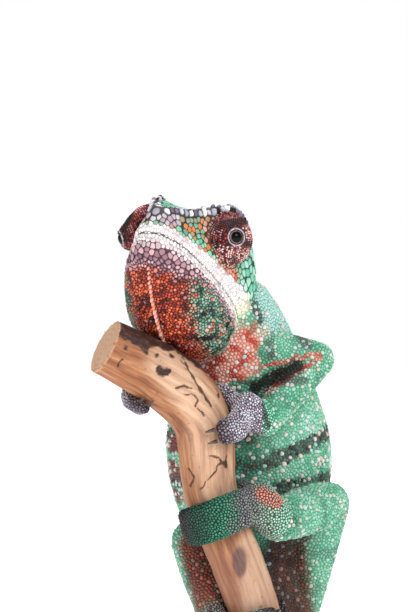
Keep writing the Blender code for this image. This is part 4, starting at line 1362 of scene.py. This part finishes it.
def branchFinish():
    material, wire, shader = finish("branchFinish", 0.6, Specular_IOR_Level=0.35)
    place = wire.field("grainPlace")
    groove, bark, knot = wire.field("woodMarks").parts()
    sawn, far, along = wire.field("sawn").parts()
    streak = place.noise(0.55, 4.0, 0.6)
    fibre = place.noise(2.6, 3.0, 0.6)
    stain = place.noise(0.28, 2.0)
    speck = wire.here().noise(900.0, 3.0)
    wood = (streak * 0.95 + fibre * 0.35 - 0.14).ramp(
        {0.2: (92, 50, 32), 0.4: (130, 78, 48), 0.56: (164, 110, 74), 0.8: (204, 162, 126)})
    wood = (stain.rises(0.55, 0.75) * 0.6).blend(wood, (156, 90, 50))
    wood = (along.rises(52, 78) * 0.45).blend(wood, (142, 100, 84))
    x, _, z = wire.field("gripAt").parts()
    # painted highlight: pale wood where the light falls, following the grain
    paleHighlight = strongest([strokeMask(x, z, [line]) * share for line, share in branchWork["paleHighlight"]])
    pale = (1.6 * streak - 0.3 + 0.5 * fibre).least(1.0) * 0.68
    wood = (paleHighlight * pale).blend(wood, (222, 190, 162))
    wood = (speck.rises(0.64, 0.72) * 0.5).blend(wood, (110, 70, 46))
    endGrain = ((far * 4.4 + 3.6 * speck).wave() * 0.07 + 0.8 * fibre + 0.2).ramp(
        {0.2: (150, 106, 80), 0.6: (190, 150, 120), 1.0: (218, 188, 160)})
    wood = sawn.blend(wood, endGrain)
    wood = (knot * 0.9).blend(wood, (fibre + 0.1).ramp({0.35: (54, 34, 34), 0.75: (112, 80, 76)}))
    wood = (groove.rises(0.3, 0.85) * 0.9).blend(wood, (58, 32, 22))
    barkColour = (fibre * 0.6 + speck * 0.6).ramp(
        {0.35: (26, 14, 12), 0.6: (58, 34, 28), 0.8: (98, 66, 52)})
    wood = bark.blend(wood, barkColour)
    relief = (fibre + 0.4 * speck).bump(0.5, 0.0002)
    feed(shader, Base_Color=wood, Roughness=0.5 + 0.3 * fibre, Normal=relief)
    return material


branch = makeBranch()
branch.data.materials.append(branchFinish())
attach(branch, "root")
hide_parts("perch_branch")
print("branch:", len(branch.data.polygons), "faces")


plainWork = {  # the pieces that keep the mesh they have: claws, board and brass
    "boardRings": 46.0,  # growth rings over a metre of the board's width
    "boardWaver": 0.05,
    "boardFibre": (14.0, 420.0, 420.0),
    "brushLines": (700.0, 700.0, 9000.0),
    "hornLines": 1500.0,
}


def stretched(wire, ways):
    x, y, z = wire.here().parts()
    return wire.node("ShaderNodeCombineXYZ", None, {0: x * ways[0], 1: y * ways[1], 2: z * ways[2]})


def hornFinish():
    material, wire, shader = finish("clawFinish", 0.32, Specular_IOR_Level=0.5)
    horn = stretched(wire, (plainWork["hornLines"],) * 3).noise(1.0, 3.0)
    blotch = stretched(wire, (plainWork["hornLines"] * 0.3,) * 3).noise(1.0, 2.0)
    colour = (horn * 0.5 + blotch * 0.6).ramp({0.35: (26, 18, 18), 0.55: (58, 44, 40), 0.75: (104, 86, 76)})
    feed(shader, Base_Color=colour, Roughness=0.24 + 0.3 * horn)
    return material


def boardFinish():
    material, wire, shader = finish("boardFinish", 0.35, Specular_IOR_Level=0.5, Coat_Weight=0.4,
                                    Coat_Roughness=0.15)
    fibre = stretched(wire, plainWork["boardFibre"]).noise(1.0, 4.0, 0.6)
    _, y, z = wire.here().parts()
    waver = stretched(wire, (6.0, 6.0, 6.0)).noise(1.0, 2.0)
    across = (y + 0.4 * z + plainWork["boardWaver"] * waver) * plainWork["boardRings"]
    rings = (across * 6.28).wave() * 0.5 + 0.5
    colour = (rings * 0.35 + fibre * 0.75 - 0.05).ramp(
        {0.25: (46, 26, 18), 0.5: (84, 50, 34), 0.8: (122, 80, 54)})
    feed(shader, Base_Color=colour, Roughness=0.28 + 0.25 * fibre)
    return material


def brassFinish():
    material, wire, shader = finish("brassFinish", 0.3, Metallic=1.0)
    brush = stretched(wire, plainWork["brushLines"]).noise(1.0, 2.0)
    tarnish = stretched(wire, (60.0, 60.0, 60.0)).noise(1.0, 3.0)
    colour = (tarnish * 0.7 + brush * 0.3).ramp({0.3: (150, 116, 66), 0.6: (206, 172, 108)})
    feed(shader, Base_Color=colour, Roughness=0.2 + 0.25 * brush)
    return material


def dress(prefixes, material):
    for name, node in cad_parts.items():
        if name.startswith(prefixes):
            node.data.materials.clear()
            node.data.materials.append(material)


dress(("claw_",), hornFinish())
dress(("stand_base",), boardFinish())
dress(("stand_rod", "stand_collar"), brassFinish())
print("claws and stand: finished")


stageWork = {
    "floorRadius": 6.0,
    "floorGlow": 0.9,
    "skyLight": 0.44,
    "lights": {  # place, size and power
        "key": ((0.38, -0.75, 0.72), 0.45, 5.8),
        "fill": ((-0.65, -0.55, 0.35), 0.6, 1.6),
        "top": ((0.0, 0.1, 1.0), 0.5, 3.0),
    },
    "lightsAim": (0.0, 0.0, 0.2),
    "cameraPlace": (-0.008, -0.520, 0.206),  # half a metre in front of the grip frame
    "lens": 117.65,
}


def makeFloor():
    bpy.ops.object.select_all(action="DESELECT")
    bpy.ops.mesh.primitive_circle_add(vertices=96, radius=stageWork["floorRadius"], fill_type="NGON",
                                      location=(0, 0, 0))
    floor = bpy.context.view_layer.objects.active
    floor.name = "floor"
    material, _, shader = finish("floorFinish", 0.9, Emission_Color=(1, 1, 1, 1),
                                 Emission_Strength=stageWork["floorGlow"])
    shader.inputs["Base Color"].default_value = tint((246, 246, 246))
    floor.data.materials.append(material)


def lightStage():
    world = bpy.data.worlds.new("studio")
    bpy.context.scene.world = world
    world.use_nodes = True
    nodes, links = world.node_tree.nodes, world.node_tree.links
    back = nodes["Background"]
    back.inputs[0].default_value = (1, 1, 1, 1)
    seen = nodes.new("ShaderNodeLightPath")
    strength = nodes.new("ShaderNodeMapRange")  # plain white behind, and softer on the object
    strength.inputs[3].default_value = stageWork["skyLight"]
    strength.inputs[4].default_value = 1.0
    links.new(seen.outputs["Is Camera Ray"], strength.inputs[0])
    links.new(strength.outputs[0], back.inputs[1])
    for name, (place, size, power) in stageWork["lights"].items():
        light = addObject(name, bpy.data.lights.new(name, "AREA"))
        light.data.size = size
        light.data.energy = power
        light.location = place
        way = Vector(stageWork["lightsAim"]) - Vector(place)
        light.rotation_euler = way.to_track_quat("-Z", "Y").to_euler()


def placeCamera():
    camera = addObject("camera", bpy.data.cameras.new("camera"))
    camera.location = stageWork["cameraPlace"]
    camera.rotation_euler = (math.radians(90), 0, 0)
    camera.data.lens = stageWork["lens"]
    camera.data.sensor_width = 36
    camera.data.clip_start = 0.01
    bpy.context.scene.camera = camera


makeFloor()
lightStage()
placeCamera()
bpy.context.scene.view_settings.view_transform = "Standard"
print("floor, light and camera: set")
